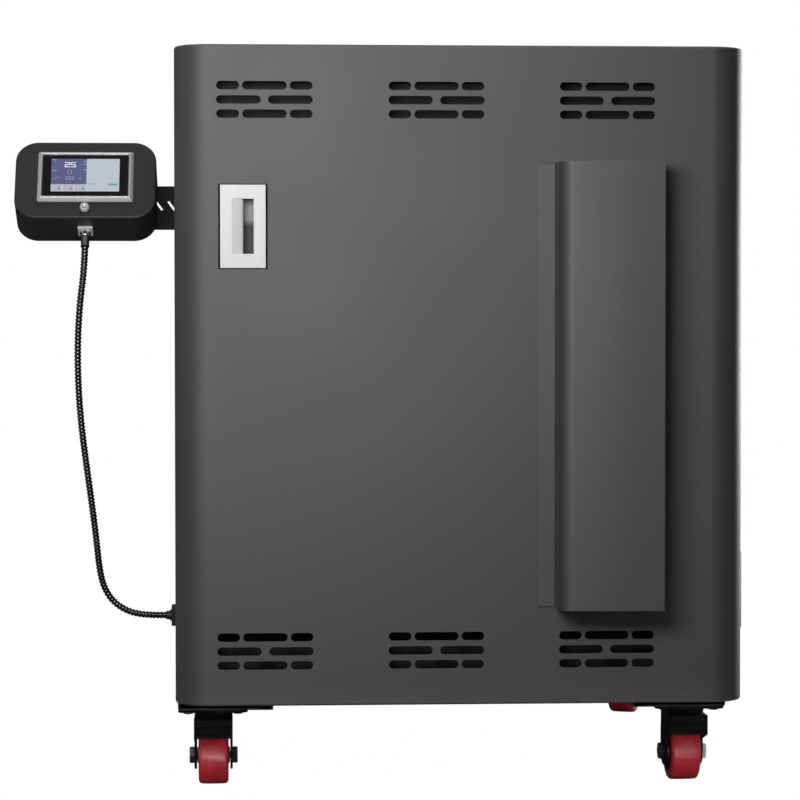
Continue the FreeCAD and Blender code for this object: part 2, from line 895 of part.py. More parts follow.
def door_back_pan():
    """The inner sheet: a flange inside the shell and a tray round the insulation."""
    inside = half_width - sheet
    low = cabinet_bottom + sheet
    high = cabinet_top - sheet
    flange = box((-inside, door_back - sheet, low), (inside, door_back, high))
    outer = box((-tray_half, door_tray_front, casing_low), (tray_half, door_back, casing_high))
    space = box((-fibre_half, door_tray_front + sheet, fibre_low), (fibre_half, door_back + 1, fibre_high))
    holes = [door_hole(level, door_tray_front - 1, door_back) for level in door_tail_levels()]
    return sub_part(cut(fuse([flange, outer]), [space] + holes), "door_back_pan")


def door_fibre():
    """Fibre board that fills the tray round and in front of the brick."""
    start = door_tray_front + sheet
    outer = box((-fibre_half, start, fibre_low), (fibre_half, door_back, fibre_high))
    step = plug_flange
    space = box(
        (-plug_base_half, door_back - door_brick, plug_low - step),
        (plug_base_half, door_back + 1, plug_high + step),
    )
    holes = [door_hole(level, start - 1, door_back) for level in door_tail_levels()]
    return sub_part(cut(outer, [space] + holes), "door_fibre")


def door_grooves():
    low_y = plug_face - groove
    high_y = plug_face + 1
    half = groove / 2
    reach = plug_half - door_side_margin
    cutters = []
    for n in range(door_runs):
        level = door_run_level(n) + groove / 2 - wire / 2 - fit_gap
        outermost = n in (0, door_runs - 1)
        right = door_tail_x + half if outermost else reach + half
        cutters.append(box((-reach - half, low_y, level - half), (right, high_y, level + half)))
    for n in range(door_runs - 1):
        middle = -reach if n % 2 == 0 else reach
        low = (middle - half, low_y, door_run_level(n + 1))
        cutters.append(box(low, (middle + half, high_y, door_run_level(n))))
    return cutters


def door_lining():
    """The brick plug, stepped where it meets the mouth."""
    step = plug_flange
    base = box(
        (-plug_base_half, door_back - door_brick, plug_low - step),
        (plug_base_half, door_back, plug_high + step),
    )
    nose = box((-plug_half, door_back - 1, plug_low), (plug_half, plug_face, plug_high))
    holes = [door_hole(level, door_back - door_brick - 1, plug_face) for level in door_tail_levels()]
    return sub_part(cut(fuse([base, nose]), door_grooves() + holes), "door_lining")


def door_element():
    """The heating wire of the door, with both tails forward into the terminal cover."""
    reach = float(plug_half - door_side_margin)
    y = float(door_wire_y)
    x_tail = float(door_tail_x)
    tail = float(front - tail_length)
    points = [FreeCAD.Vector(x_tail, tail, float(door_run_level(0)))]
    points.append(FreeCAD.Vector(x_tail, y, float(door_run_level(0))))
    for n in range(door_runs):
        level = float(door_run_level(n))
        ends = (reach, -reach) if n % 2 == 0 else (-reach, reach)
        if n > 0:
            points.append(FreeCAD.Vector(ends[0], y, level))
        if n < door_runs - 1:
            points.append(FreeCAD.Vector(ends[1], y, level))
    points.append(FreeCAD.Vector(x_tail, y, float(door_run_level(door_runs - 1))))
    points.append(FreeCAD.Vector(x_tail, tail, float(door_run_level(door_runs - 1))))
    return feature(bent_wire(points, float(wire / 2), float(wire_bend)), "door_element")


gasket_wide = size("gasket_width", 22)
gasket_inset = size("gasket_inset", 2)


def door_gasket():
    """A flat fibre seal on the door, which meets the front frame all round the mouth."""
    inner = brick_half - frame_lap + gasket_inset
    outer = inner + gasket_wide
    low = brick_low + frame_lap - gasket_inset
    high = brick_high - frame_lap + gasket_inset
    ring = box(
        (-outer, door_back, low - gasket_wide),
        (outer, body_front - fit_gap, high + gasket_wide),
    )
    space = box((-inner, door_back - 1, low), (inner, body_front + 1, high))
    return sub_part(cut(ring, [space]), "door_gasket")


def door_terminal_block():
    """Ceramic blocks under the terminal cover, one over each wire tail."""
    blocks = []
    for level in door_tail_levels():
        x = door_tail_x
        block = box(
            (x - terminal_wide / 2, front - terminal_deep, level - terminal_tall / 2),
            (x + terminal_wide / 2, front, level + terminal_tall / 2),
        )
        start = front - tail_length - fit_gap
        hole = rod((x, start, level), wire / 2 + fit_gap, front + 1 - start, "Y")
        blocks.append(cut(block, [hole], "terminal"))
    return sub_part(group(blocks), "door_terminal_block")


def terminal_cover():
    """A folded sheet cover with a large bend at its left edge and one screw flange."""
    proud = front - cover_deep
    made = block_body("terminal_cover", (cover_left, proud, cover_low), (cover_right, front, cover_high))

    def left_bend(edge):
        middle = edge.CenterOfMass
        return along(edge, "z") and near(middle.x, cover_left) and near(middle.y, proud)

    round_body(made, cover_bend, left_bend)
    hollow_out(made, sheet, lambda face: near(face.CenterOfMass.y, front))
    flange = sketch_on(made, "XY_Plane", cover_low)
    polygon(flange, rectangle((cover_left - cover_flange, front - sheet), (cover_left + sheet, front)))
    pad(made, flange, cover_high - cover_low)
    return sub_part(made, "terminal_cover")


screw_head_radius = size("screw_head_radius", 4.5)
screw_head_height = size("screw_head_height", 2.2)
cover_screw_count = 4


def terminal_cover_screws():
    """Nuts on the studs of the cover's flange, against the inside of the door's outer sheet."""
    x = cover_left - cover_flange / 2
    pitch = (cover_high - cover_low - cover_flange * 2) / (cover_screw_count - 1)
    heads = []
    for n in range(cover_screw_count):
        level = cover_low + cover_flange + pitch * n
        heads.append(rod((x, front + sheet, level), screw_head_radius, screw_head_height, "Y"))
    return sub_part(group(heads), "terminal_cover_screws")


def pull_handle():
    """A flush plate with a finger recess, whose left wall slants inwards."""
    plate = box(
        (handle_x - handle_wide / 2, front - handle_proud, handle_z - handle_tall / 2),
        (handle_x + handle_wide / 2, front, handle_z + handle_tall / 2),
    )
    x = handle_x + recess_shift
    outer = recess_wide / 2 + cup_wall
    cup = box(
        (x - outer, front, handle_z - recess_tall / 2 - cup_wall),
        (x + outer, front + recess_deep, handle_z + recess_tall / 2 + cup_wall),
    )
    recess = body("recess")
    outline = sketch_on(recess, "XY_Plane", handle_z - recess_tall / 2)
    half = recess_wide / 2
    floor = front + recess_deep - cup_wall
    mouth = front - handle_proud - 1
    corners = [(x - half, mouth), (x + half, mouth), (x + half, floor), (x - half + recess_slant, floor)]
    polygon(outline, corners)
    pad(recess, outline, recess_tall)
    return sub_part(cut(fuse([plate, cup]), [recess]), "pull_handle")


# Hinges and catches

pin_offset = size("hinge_pin_offset", 8.5)
barrel_radius = size("hinge_barrel_radius", 8)
pin_radius = size("hinge_pin_radius", 4)
barrel_length = size("hinge_barrel_length", 50)
leaf_thick = size("hinge_leaf_thickness", 3)
leaf_wide = size("hinge_leaf_width", 34)
hinge_inset = size("hinge_inset", 130)
pin_x = half_width + pin_offset
pin_y = door_back + door_gap / 2


def hinge_levels():
    """Heights of the joint between the two barrels of each hinge."""
    return cabinet_bottom + hinge_inset, cabinet_top - hinge_inset


def fixed_barrels():
    """Lower barrels, welded to the cabinet's side by their leaves."""
    halves = []
    for level in hinge_levels():
        low = level - barrel_length
        barrel = rod((pin_x, pin_y, low), barrel_radius, barrel_length)
        leaf = box(
            (half_width, body_front + fit_gap, low),
            (half_width + leaf_thick, body_front + leaf_wide, level),
        )
        bore = rod((pin_x, pin_y, low - 1), pin_radius + running_gap, barrel_length + 2)
        halves.append(cut(fuse([barrel, leaf], "half"), [bore], "fixed_half"))
    return sub_part(group(halves), "hinge_fixed_barrels")


def door_barrels():
    """Upper barrels, welded to the door's side by their leaves."""
    halves = []
    for level in hinge_levels():
        low = level + fit_gap
        barrel = rod((pin_x, pin_y, low), barrel_radius, barrel_length)
        leaf = box(
            (half_width, door_back - leaf_wide, low),
            (half_width + leaf_thick, door_back - fit_gap, low + barrel_length),
        )
        bore = rod((pin_x, pin_y, low - 1), pin_radius + running_gap, barrel_length + 2)
        halves.append(cut(fuse([barrel, leaf], "half"), [bore], "door_half"))
    return sub_part(group(halves), "hinge_door_barrels")


def hinge_pins():
    """Pins through both barrels, each with a head under the fixed barrel."""
    pins = []
    for level in hinge_levels():
        low = level - barrel_length - pin_radius
        head = rod((pin_x, pin_y, low), barrel_radius - 1, pin_radius)
        shank = rod((pin_x, pin_y, low), pin_radius, barrel_length * 2 + pin_radius + fit_gap)
        pins.append(fuse([head, shank], "pin"))
    return sub_part(group(pins), "hinge_pins")


catch_wide = size("catch_width", 16)
catch_tall = size("catch_height", 60)
catch_inset = size("catch_inset", 3)


def magnetic_catches():
    """Flat magnets on the front frame, which hold the closed door."""
    x = -half_width + catch_inset
    magnets = []
    for level in hinge_levels():
        low = (x, door_back + fit_gap, level - catch_tall / 2)
        magnets.append(box(low, (x + catch_wide, body_front, level + catch_tall / 2)))
    return sub_part(group(magnets), "magnetic_catches")


# Controller, tilted back on its bracket

case_wide = size("case_width", 179.4)
case_tall = size("case_height", 115.8)
case_deep = size("case_depth", 56)
case_radius = size("case_corner_radius", 29)
case_wall = size("case_wall", 2)
case_tilt = size("case_tilt", 30.7)
case_gap = size("case_side_gap", 25.5)
case_setback = size("case_setback", 128)
case_drop = size("case_drop", 161.1)
case_back_thick = size("case_back_thickness", 3)
case_x = -half_width - case_gap - case_wide / 2
case_y = front + case_setback
case_z = cabinet_top - case_drop

bezel_wide = size("bezel_width", 121.7)
bezel_tall = size("bezel_height", 73)
bezel_proud = size("bezel_proud", 5)
bezel_rim = size("bezel_rim", 7)
bezel_rise = size("bezel_rise", 6)
glass_sink = size("glass_sink", 1.5)
glass_thick = size("glass_thickness", 4)


def lean(made):
    """Put a controller piece at the case's face centre, and tilt it back."""
    place(made, (case_x, case_y, case_z), ((-1, 0, 0), case_tilt))
    return made


def case_point(side, inward, up):
    """A point of the controller's own frame, in the kiln's frame."""
    x = case_x + side
    y = case_y + cosine(case_tilt) * inward + sine(case_tilt) * up
    z = case_z - sine(case_tilt) * inward + cosine(case_tilt) * up
    return x, y, z


def controller_case():
    """A deep shell with large corners, open at the back, with holes for what it carries."""
    made = body("controller_case")
    outline = sketch_on(made, "XZ_Plane", 0)
    half = (case_wide / 2, case_tall / 2)
    polygon(outline, rectangle((-half[0], -half[1]), half))
    pad(made, outline, case_deep - case_back_thick, backwards=True)
    round_body(made, case_radius, lambda edge: along(edge, "y"))
    deep = case_deep - case_back_thick
    hollow_out(made, case_wall, lambda face: near(face.CenterOfMass.y, deep))
    window = sketch_on(made, "XZ_Plane", 0)
    reach = (bezel_wide / 2 - bezel_rim / 2, bezel_tall / 2 - bezel_rim / 2)
    polygon(window, rectangle((-reach[0], bezel_rise - reach[1]), (reach[0], bezel_rise + reach[1])))
    pocket(made, window, case_wall * 2)
    hole = sketch_on(made, "XZ_Plane", 0)
    circles(hole, [(0, toggle_z)], bushing_radius + running_gap)
    pocket(made, hole, case_wall * 2)
    hole = sketch_on(made, "XY_Plane", -case_tall / 2)
    circles(hole, [(0, connector_y)], connector_hole)
    pocket(made, hole, case_wall * 2, backwards=True)
    return sub_part(lean(made), "controller_case")


def controller_back():
    made = body("controller_back")
    outline = sketch_on(made, "XZ_Plane", -(case_deep - case_back_thick))
    half = (case_wide / 2, case_tall / 2)
    polygon(outline, rectangle((-half[0], -half[1]), half))
    pad(made, outline, case_back_thick, backwards=True)
    round_body(made, case_radius, lambda edge: along(edge, "y"))
    return sub_part(lean(made), "controller_back")


def display_bezel():
    """A frame round the glass, proud of the case, with a neck in its window."""
    half = (bezel_wide / 2, bezel_tall / 2)
    made = body("display_bezel")
    outline = sketch_on(made, "XZ_Plane", bezel_proud)
    polygon(outline, rectangle((-half[0], bezel_rise - half[1]), (half[0], bezel_rise + half[1])))
    pad(made, outline, bezel_proud, backwards=True)
    neck = sketch_on(made, "XZ_Plane", 0)
    inset = bezel_rim / 2 + fit_gap
    low = (-half[0] + inset, bezel_rise - half[1] + inset)
    polygon(neck, rectangle(low, (half[0] - inset, bezel_rise + half[1] - inset)))
    pad(made, neck, case_wall + glass_thick, backwards=True)
    window = sketch_on(made, "XZ_Plane", bezel_proud)
    low = (-half[0] + bezel_rim, bezel_rise - half[1] + bezel_rim)
    polygon(window, rectangle(low, (half[0] - bezel_rim, bezel_rise + half[1] - bezel_rim)))
    pocket(made, window, bezel_proud + case_wall + glass_thick + 1)
    return sub_part(lean(made), "display_bezel")


def display_screen():
    """The touch glass with its panel, in the window of the frame."""
    inset = bezel_rim + fit_gap
    half = (bezel_wide / 2 - inset, bezel_tall / 2 - inset)
    made = body("display_screen")
    outline = sketch_on(made, "XZ_Plane", bezel_proud - glass_sink)
    polygon(outline, rectangle((-half[0], bezel_rise - half[1]), (half[0], bezel_rise + half[1])))
    pad(made, outline, bezel_proud - glass_sink + case_wall + glass_thick, backwards=True)
    return sub_part(lean(made), "display_screen")


board_thick = size("board_thickness", 1.6)
board_parts = size("board_parts_depth", 12)


def control_board():
    """A circuit board behind the glass, with a block of parts on its back."""
    start = case_wall + glass_thick
    half = (bezel_wide / 2 - bezel_rim, bezel_tall / 2 - bezel_rim)
    behind = start + board_thick
    board = box((-half[0], start, bezel_rise - half[1]), (half[0], behind, bezel_rise + half[1]))
    low = (-half[0] / 2, behind, bezel_rise - half[1] / 2)
    parts = box(low, (half[0] / 2, behind + board_parts, bezel_rise + half[1] / 2))
    return sub_part(lean(fuse([board, parts])), "control_board")


toggle_z = -size("toggle_drop", 44)
bushing_radius = size("bushing_radius", 5.2)
bushing_length = size("bushing_length", 7)
bushing_nut = size("bushing_nut_radius", 7)
switch_body = size("switch_body", 13)
lever_radius = size("lever_radius", 1.8)
lever_length = size("lever_length", 13)
lever_ball = size("lever_ball_radius", 2.6)
lever_tilt = size("lever_tilt", 14)
lever_pocket = size("lever_pocket_radius", 4)
lever_depth = size("lever_pocket_depth", 3.6)
lever_root = size("lever_root_radius", 2.7)
lever_round = size("lever_end_round", 1.2)
pivot_radius = size("lever_pivot_radius", 1)
pivot_reach = lever_pocket - size("lever_pivot_end_gap", 0.4)


def toggle_bushing():
    """A threaded bushing with its nut, the switch body behind it and a hollow for the lever."""
    shank = rod((0, -bushing_length, toggle_z), bushing_radius, bushing_length + case_wall + 1, "Y")
    nut = rod((0, -case_wall, toggle_z), bushing_nut, case_wall, "Y")
    behind = box(
        (-switch_body / 2, case_wall, toggle_z - switch_body / 2),
        (switch_body / 2, case_wall + switch_body, toggle_z + switch_body / 2),
    )
    hollow = rod((0, -bushing_length - 1, toggle_z), lever_pocket, bushing_length + lever_depth + 1, "Y")
    return sub_part(lean(cut(fuse([shank, nut, behind]), [hollow])), "toggle_bushing")


def toggle_lever():
    """A lever on a level pivot pin inside the bushing, at rest in its lower place."""
    made = body("toggle_lever")
    outline = sketch_on(made, "XZ_Plane", 0)
    corners = [
        (0, -lever_root),
        (lever_root, -lever_root),
        (lever_root, lever_root),
        (lever_radius, lever_root),
        (lever_radius, lever_length - lever_ball),
        (lever_ball, lever_length - lever_ball),
        (lever_ball, lever_length),
        (0, lever_length),
    ]
    polygon(outline, corners)
    revolve(made, outline, "V_Axis")
    round_body(made, lever_round, lambda edge: near(edge.CenterOfMass.z, lever_length))
    pivot = sketch_on(made, "YZ_Plane", -pivot_reach)
    circles(pivot, [(0, 0)], pivot_radius)
    pad(made, pivot, pivot_reach * 2)
    place(made, case_point(0, 0, toggle_z), ((1, 0, 0), 90 + case_tilt * -1 + lever_tilt))
    return sub_part(made, "toggle_lever")


connector_y = size("connector_depth", 29)
connector_flange = size("connector_flange", 19)
connector_flange_thick = size("connector_flange_thickness", 2.5)
connector_hole = size("connector_hole_radius", 7)
connector_nut = size("connector_nut_radius", 7.8)
connector_nut_length = size("connector_nut_length", 10)
ferrule_radius = size("ferrule_radius", 5.6)
ferrule_length = size("ferrule_length", 8)
socket_length = size("connector_socket_length", 8)
conduit_radius = size("conduit_radius", 4.5)
conduit_bore = size("conduit_bore_radius", 2.9)
conduit_root = size("conduit_root_radius", 3.8)
rib_pitch = size("rib_pitch", 4.55)
plug_length = connector_flange_thick + connector_nut_length + ferrule_length


def conduit_connector():
    """A square flange under the case, with a coupling nut and the ferrule of the conduit."""
    low = -case_tall / 2
    half = connector_flange / 2
    start = low - connector_flange_thick
    flange = box((-half, connector_y - half, start), (half, connector_y + half, low))
    nut = rod((0, connector_y, start - connector_nut_length), connector_nut, connector_nut_length)
    end = low - plug_length
    ferrule = rod((0, connector_y, end), ferrule_radius, ferrule_length)
    socket = rod((0, connector_y, low), connector_hole - fit_gap, socket_length)
    bore = rod((0, connector_y, end - 1), conduit_bore, plug_length + socket_length + 2)
    made = cut(fuse([flange, nut, ferrule, socket]), [bore])
    return sub_part(lean(made), "conduit_connector")


gland_setback = size("gland_setback", 200)
gland_square = size("gland_square", 26.4)
gland_base = size("gland_base", 9)
gland_nose = size("gland_nose", 7)
gland_nose_radius = size("gland_nose_radius", 5.6)
gland_thread_radius = size("gland_thread_radius", 8)
gland_nut_radius = size("gland_nut_radius", 12)
gland_thread = size("gland_thread_length", 14)
gland_nut_length = size("gland_nut_length", 7)
conduit_low = cabinet_bottom + size("conduit_low_rise", 92.8)


def conduit_gland():
    """A square black block on the cabinet's side, with a round fitting for the conduit."""
    y = front + gland_setback
    half = gland_square / 2
    outer = -half_width - gland_base
    block = box((outer, y - half, conduit_low - half), (-half_width, y + half, conduit_low + half))
    nose = rod((outer - gland_nose, y, conduit_low), gland_nose_radius, gland_nose, "X")
    thread = rod((-half_width, y, conduit_low), gland_thread_radius, gland_thread, "X")
    nut = rod((-half_width + sheet, y, conduit_low), gland_nut_radius, gland_nut_length, "X")
    start = outer - gland_nose - 1
    bore = rod((start, y, conduit_low), conduit_bore, gland_thread - start - half_width + 1, "X")
    return sub_part(cut(fuse([block, nose, thread, nut]), [bore]), "conduit_gland")


# Conduit

conduit_first_run = size("conduit_first_run", 38)
conduit_last_run = size("conduit_last_run", 22)

# Shares of the way from ferrule to gland, in x, y and z, at each bend of the hose

conduit_bow = [
    (-0.0585, -0.2401, 0.1583),
    (-0.0938, -0.131, 0.2615),
    (-0.0968, 0.024, 0.3709),
    (-0.0685, 0.1905, 0.4782),
    (-0.0131, 0.3627, 0.5855),
    (0.0474, 0.5292, 0.6908),
    (0.0978, 0.6842, 0.7899),
    (0.128, 0.8048, 0.8683),
    (0.1835, 0.8909, 0.923),
    (0.3145, 0.9541, 0.9653),
    (0.5262, 0.9885, 0.9922),
]


def conduit_points():
    """The conduit's route: out of the ferrule, down in a long bow, and into the gland."""
    start = FreeCAD.Vector(*[float(v) for v in case_point(0, connector_y, -case_tall / 2 - plug_length)])
    tilt = math.radians(float(case_tilt))
    heading = FreeCAD.Vector(0, -math.sin(tilt), -math.cos(tilt))
    gland_x = float(-half_width - gland_base - gland_nose)
    end = FreeCAD.Vector(gland_x, float(front + gland_setback), float(conduit_low))
    span = end - start
    points = [start, start + heading * float(conduit_first_run)]
    for across, inward, down in conduit_bow:
        points.append(start + FreeCAD.Vector(span.x * across, span.y * inward, span.z * down))
    return points + [end - FreeCAD.Vector(float(conduit_last_run), 0, 0), end]


def conduit_bend(points, n):
    """The largest arc that the two runs beside a point allow."""
    before = points[n - 1] - points[n]
    after = points[n + 1] - points[n]
    half_turn = (math.pi - before.getAngle(after)) / 2
    return 0.45 * min(before.Length, after.Length) / math.tan(half_turn)


def path_stations(edges, steps):
    """Points and headings along a path, at given distances from its start."""
    lengths = [edge.Length for edge in edges]
    found = []
    for step in steps:
        left = step
        for edge, length in zip(edges, lengths):
            if left <= length or edge is edges[-1]:
                break
            left -= length
        at = edge.getParameterByLength(min(left, length))
        found.append((edge.valueAt(at), edge.tangentAt(at).normalize()))
    return found


def ring_at(place_, heading, radius):
    """A circle square to the path, whose start lies on a steady side of it."""
    steady = FreeCAD.Vector(1, 1, 0).normalize()
    across = (steady - heading * steady.dot(heading)).normalize()
    circle_ = Part.Circle(FreeCAD.Vector(0, 0, 0), FreeCAD.Vector(0, 0, 1), radius).toShape()
    upward = heading.cross(across)
    turn = FreeCAD.Matrix(
        across.x, upward.x, heading.x, place_.x,
        across.y, upward.y, heading.y, place_.y,
        across.z, upward.z, heading.z, place_.z,
        0, 0, 0, 1,
    )
    circle_.Placement = FreeCAD.Placement(turn)
    return Part.Wire([circle_])


def rib_steps(total):
    """Distances along the hose and its radii there: plain ends, and four rings for each rib."""
    plain = float(conduit_radius) * 2
    count = int((total - 2 * plain) / float(rib_pitch))
    pitch = (total - 2 * plain) / count
    root = float(conduit_root)
    crest = float(conduit_radius)
    steps = [(0.0, root)]
    for n in range(count):
        for share, radius in ((0.10, root), (0.30, crest), (0.70, crest), (0.90, root)):
            steps.append((plain + pitch * (n + share), radius))
    return steps + [(total, root)], count


def conduit():
    """A ribbed metal hose: four circles make each rib, and a plain bore runs through."""
    points = conduit_points()
    radii = [conduit_bend(points, n) for n in range(1, len(points) - 1)]
    edges = rounded_path(points, lambda n: radii[n - 1])
    total = sum(edge.Length for edge in edges)
    steps, count = rib_steps(total)
    stations = path_stations(edges, [step for step, radius in steps])
    rings = [ring_at(at, heading, radius) for (at, heading), (step, radius) in zip(stations, steps)]
    faces = [Part.Face(rings[0]), Part.Face(rings[-1])]
    for start in range(0, len(rings) - 1, 4):
        faces += Part.makeLoft(rings[start:start + 5], False, True).Faces
    skin = Part.Shell(faces)
    skin.sewShape()
    bore = Part.Wire(edges).makePipeShell([ring_at(*stations[0], float(conduit_bore))], True, False)
    hose = Part.Solid(skin).cut(bore)
    report_conduit(radii, total, count, stations)
    report_volume(hose.Volume, steps, total)
    return feature(hose, "conduit")


def report_volume(volume, steps, total):
    """Print the hose's volume as a share of its sections times their lengths."""
    wanted = -math.pi * float(conduit_bore) ** 2 * total
    for (start, one), (end, other) in zip(steps, steps[1:]):
        wanted += math.pi * (one * one + one * other + other * other) / 3 * (end - start)
    print("conduit volume %.0f, %.4f of section times length" % (volume, volume / wanted))


def report_conduit(radii, total, count, stations):
    """Print the bends, the length and the least gap of the hose to itself."""
    diameter = float(conduit_radius) * 2
    spots = [at for at, heading in stations[::4]]
    apart = 1e9
    neighbours = 12
    for n, one in enumerate(spots):
        for other in spots[n + neighbours:]:
            apart = min(apart, (one - other).Length)
    print("conduit radii", [round(radius, 1) for radius in radii])
    print("conduit length %.1f, ribs %d, least gap to itself %.1f" % (total, count, apart - diameter))


# Bracket

bracket_y = front + size("bracket_setback", 205)
bracket_tall = size("bracket_height", 57)
bracket_low = cabinet_top - size("bracket_drop", 222.8)
bracket_thick = size("bracket_thickness", 3)
bracket_lip = size("bracket_lip", 10)
bracket_reach = size("bracket_reach", 82)
bracket_flange = size("bracket_flange", 40)
cheek_thick = size("cheek_thickness", 3)
bracket_slot_wide = size("bracket_slot_width", 2.6)
bracket_slot_long = size("bracket_slot_length", 14)
bracket_slot_pitch = size("bracket_slot_pitch", 16)
bracket_slot_inset = size("bracket_slot_inset", 5)
bracket_slot_rise = size("bracket_slot_rise", 32)
bracket_slot_turn = size("bracket_slot_turn", 36)
bracket_slot_count = 2
seat_rise = size("bracket_seat_rise", 20)
seat_wall = size("bracket_seat_wall", 6)


def controller_bracket():
    """An arm off the cabinet's side, with a slotted web, a lip and a tilted seat for the case."""
    x_in = -half_width
    x_out = -half_width - bracket_reach
    web = box((x_out, bracket_y, bracket_low), (x_in, bracket_y + bracket_thick, bracket_low + bracket_tall))
    low = (x_in - bracket_thick, bracket_y, bracket_low)
    flange = box(low, (x_in, bracket_y + bracket_flange, bracket_low + bracket_tall))
    start = bracket_y - bracket_lip
    lip = box((x_out, start, bracket_low), (x_in, bracket_y, bracket_low + bracket_thick))
    seat_right = case_x + case_wide / 2 - case_radius
    seat = bracket_seat(x_out, seat_right)
    slots = [bracket_slot(n) for n in range(bracket_slot_count)]
    return sub_part(cut(fuse([web, flange, lip, seat]), slots), "controller_bracket")


def bracket_seat(left, right):
    """A wedge of bent sheet between the upright web and the tilted back of the case."""
    made = body("bracket_seat")
    outline = sketch_on(made, "YZ_Plane", left)
    upper = case_point(0, case_deep, seat_rise)
    lower = case_point(0, case_deep, -seat_rise)
    corners = [
        (lower[1], lower[2]),
        (bracket_y, lower[2]),
        (bracket_y, upper[2]),
        (upper[1], upper[2]),
    ]
    polygon(outline, corners)
    pad(made, outline, right - left)
    hollow = sketch_on(made, "YZ_Plane", left + cheek_thick)
    inner = [
        (lower[1] + seat_wall, lower[2] - 1),
        (bracket_y + 1, lower[2] - 1),
        (bracket_y + 1, upper[2] + 1),
        (upper[1] + seat_wall, upper[2] + 1),
    ]
    polygon(hollow, inner)
    pocket(made, hollow, right - left - cheek_thick * 2, backwards=True)
    return made


def bracket_slot(n):
    """One slanted slot through the web."""
    x = -half_width - bracket_slot_inset - bracket_slot_pitch * n
    start = (x, bracket_y - 1, bracket_low + bracket_slot_rise - bracket_slot_long / 2)
    made = box((0, 0, 0), (bracket_slot_wide, bracket_thick + 2, bracket_slot_long), "slot")
    place(made, start, ((0, -1, 0), bracket_slot_turn))
    return made


rear_screw_inset = size("rear_screw_inset", 12)
rear_screw_rows = 4
bracket_bolt_radius = size("bracket_bolt_radius", 5.4)
bracket_bolt_height = size("bracket_bolt_height", 3.3)
bracket_bolt_inset = size("bracket_bolt_inset", 14)
bracket_bolt_setback = size("bracket_bolt_setback", 24)


def panel_screws():
    """Screw heads down both edges of the rear panel, and the bolts of the bracket."""
    heads = []
    reach = half_width - rear_screw_inset
    pitch = (cabinet_top - cabinet_bottom - rear_screw_inset * 2) / (rear_screw_rows - 1)
    for side in (-1, 1):
        for n in range(rear_screw_rows):
            level = cabinet_bottom + rear_screw_inset + pitch * n
            heads.append(rod((reach * side, back, level), screw_head_radius, screw_head_height, "Y"))
    start = -half_width - bracket_thick - bracket_bolt_height
    y = bracket_y + bracket_bolt_setback
    for level in (bracket_low + bracket_bolt_inset, bracket_low + bracket_tall - bracket_bolt_inset):
        heads.append(rod((start, y, level), bracket_bolt_radius, bracket_bolt_height, "X"))
    return sub_part(group(heads), "panel_screws")


# Swivel casters

caster_plate = size("caster_plate", 90.4)
caster_plate_thick = size("caster_plate_thickness", 4)
caster_plate_corner = size("caster_plate_corner", 9)
caster_front_inset = size("caster_front_inset", 155)
caster_back_inset = size("caster_back_inset", 0.8)
wheel_radius = size("wheel_radius", 38)
wheel_wide = size("wheel_width", 39)
wheel_round = size("wheel_shoulder", 3)
tread_depth = size("tread_depth", 9)
hub_radius = size("hub_bore_wall_radius", 11)
hub_web = size("hub_web_half_thickness", 4.5)
hub_rim = size("hub_rim_thickness", 3)
hub_gap = size("hub_side_gap", 0.5)
axle_radius = size("axle_radius", 5)
fork_wide = size("fork_width", 50.2)
fork_sheet = size("fork_sheet", 3)
fork_deep = size("fork_depth", 58)
fork_end = size("fork_end_radius", 18.5)
fork_top = size("fork_top_level", 92)
fork_heel = size("fork_heel_reach", 38.25)
caster_trail = size("caster_trail", 22)
race_radius = size("race_radius", 24.5)
race_gap = size("race_gap", 0.5)
king_radius = size("king_pin_radius", 6)
king_head = size("king_head_radius", 11)
king_head_height = size("king_head_height", 4)
lip_low = size("fork_lip_level", 66.7)
lip_radius = size("fork_lip_radius", 10)
lip_inset = size("fork_lip_inset", 8)
nut_across = size("axle_nut_across_flats", 20)
axle_overall = size("axle_overall_length", 63.4)
bolt_radius = size("plate_bolt_radius", 6)
bolt_inset = size("plate_bolt_inset", 13)
bolt_height = size("plate_bolt_height", 2.5)

caster_side = half_width - caster_plate / 2
caster_front_y = front + caster_front_inset + caster_plate / 2
caster_back_y = back - caster_back_inset - caster_plate / 2

# The turn of each caster at rest, about its upright king pin
CASTERS = {
    "front_left": (-1, caster_front_y, size("turn_front_left", 0)),
    "front_right": (1, caster_front_y, size("turn_front_right", 2)),
    "rear_left": (-1, caster_back_y, size("turn_rear_left", 6)),
    "rear_right": (1, caster_back_y, size("turn_rear_right", -20)),
}


def caster_spot(name):
    side, y, turn = CASTERS[name]
    return (caster_side * side, y, 0), turn


def stand(made, name):
    """Put a caster piece, made about its king pin, at its own corner and turn."""
    spot, turn = caster_spot(name)
    place(made, spot, ((0, 0, 1), turn))
    return made


def caster_plates():
    """Top plates, each with its upper race, king pin and plate bolts."""
    half = caster_plate / 2
    under = caster_height - caster_plate_thick
    plates = []
    for name in CASTERS:
        (x, y, floor), turn = caster_spot(name)
        plate = box((x - half, y - half, under), (x + half, y + half, caster_height), "plate")
        plate = round_part(plate, caster_plate_corner, lambda edge: along(edge, "z"))
        race_low = fork_top + fork_sheet + race_gap
        race = rod((x, y, race_low), race_radius, under - race_low)
        pin_low = fork_top - fork_sheet - race_gap - king_head_height
        pin = rod((x, y, pin_low), king_radius, under - pin_low)
        head = rod((x, y, pin_low), king_head, king_head_height)
        bolts = []
        reach = half - bolt_inset
        for side_x in (-1, 1):
            for side_y in (-1, 1):
                spot = (x + reach * side_x, y + reach * side_y, under - bolt_height)
                bolts.append(rod(spot, bolt_radius, bolt_height))
        plates.append(fuse([plate, race, pin, head] + bolts, "caster_plate"))
    return sub_part(group(plates), "caster_plates")


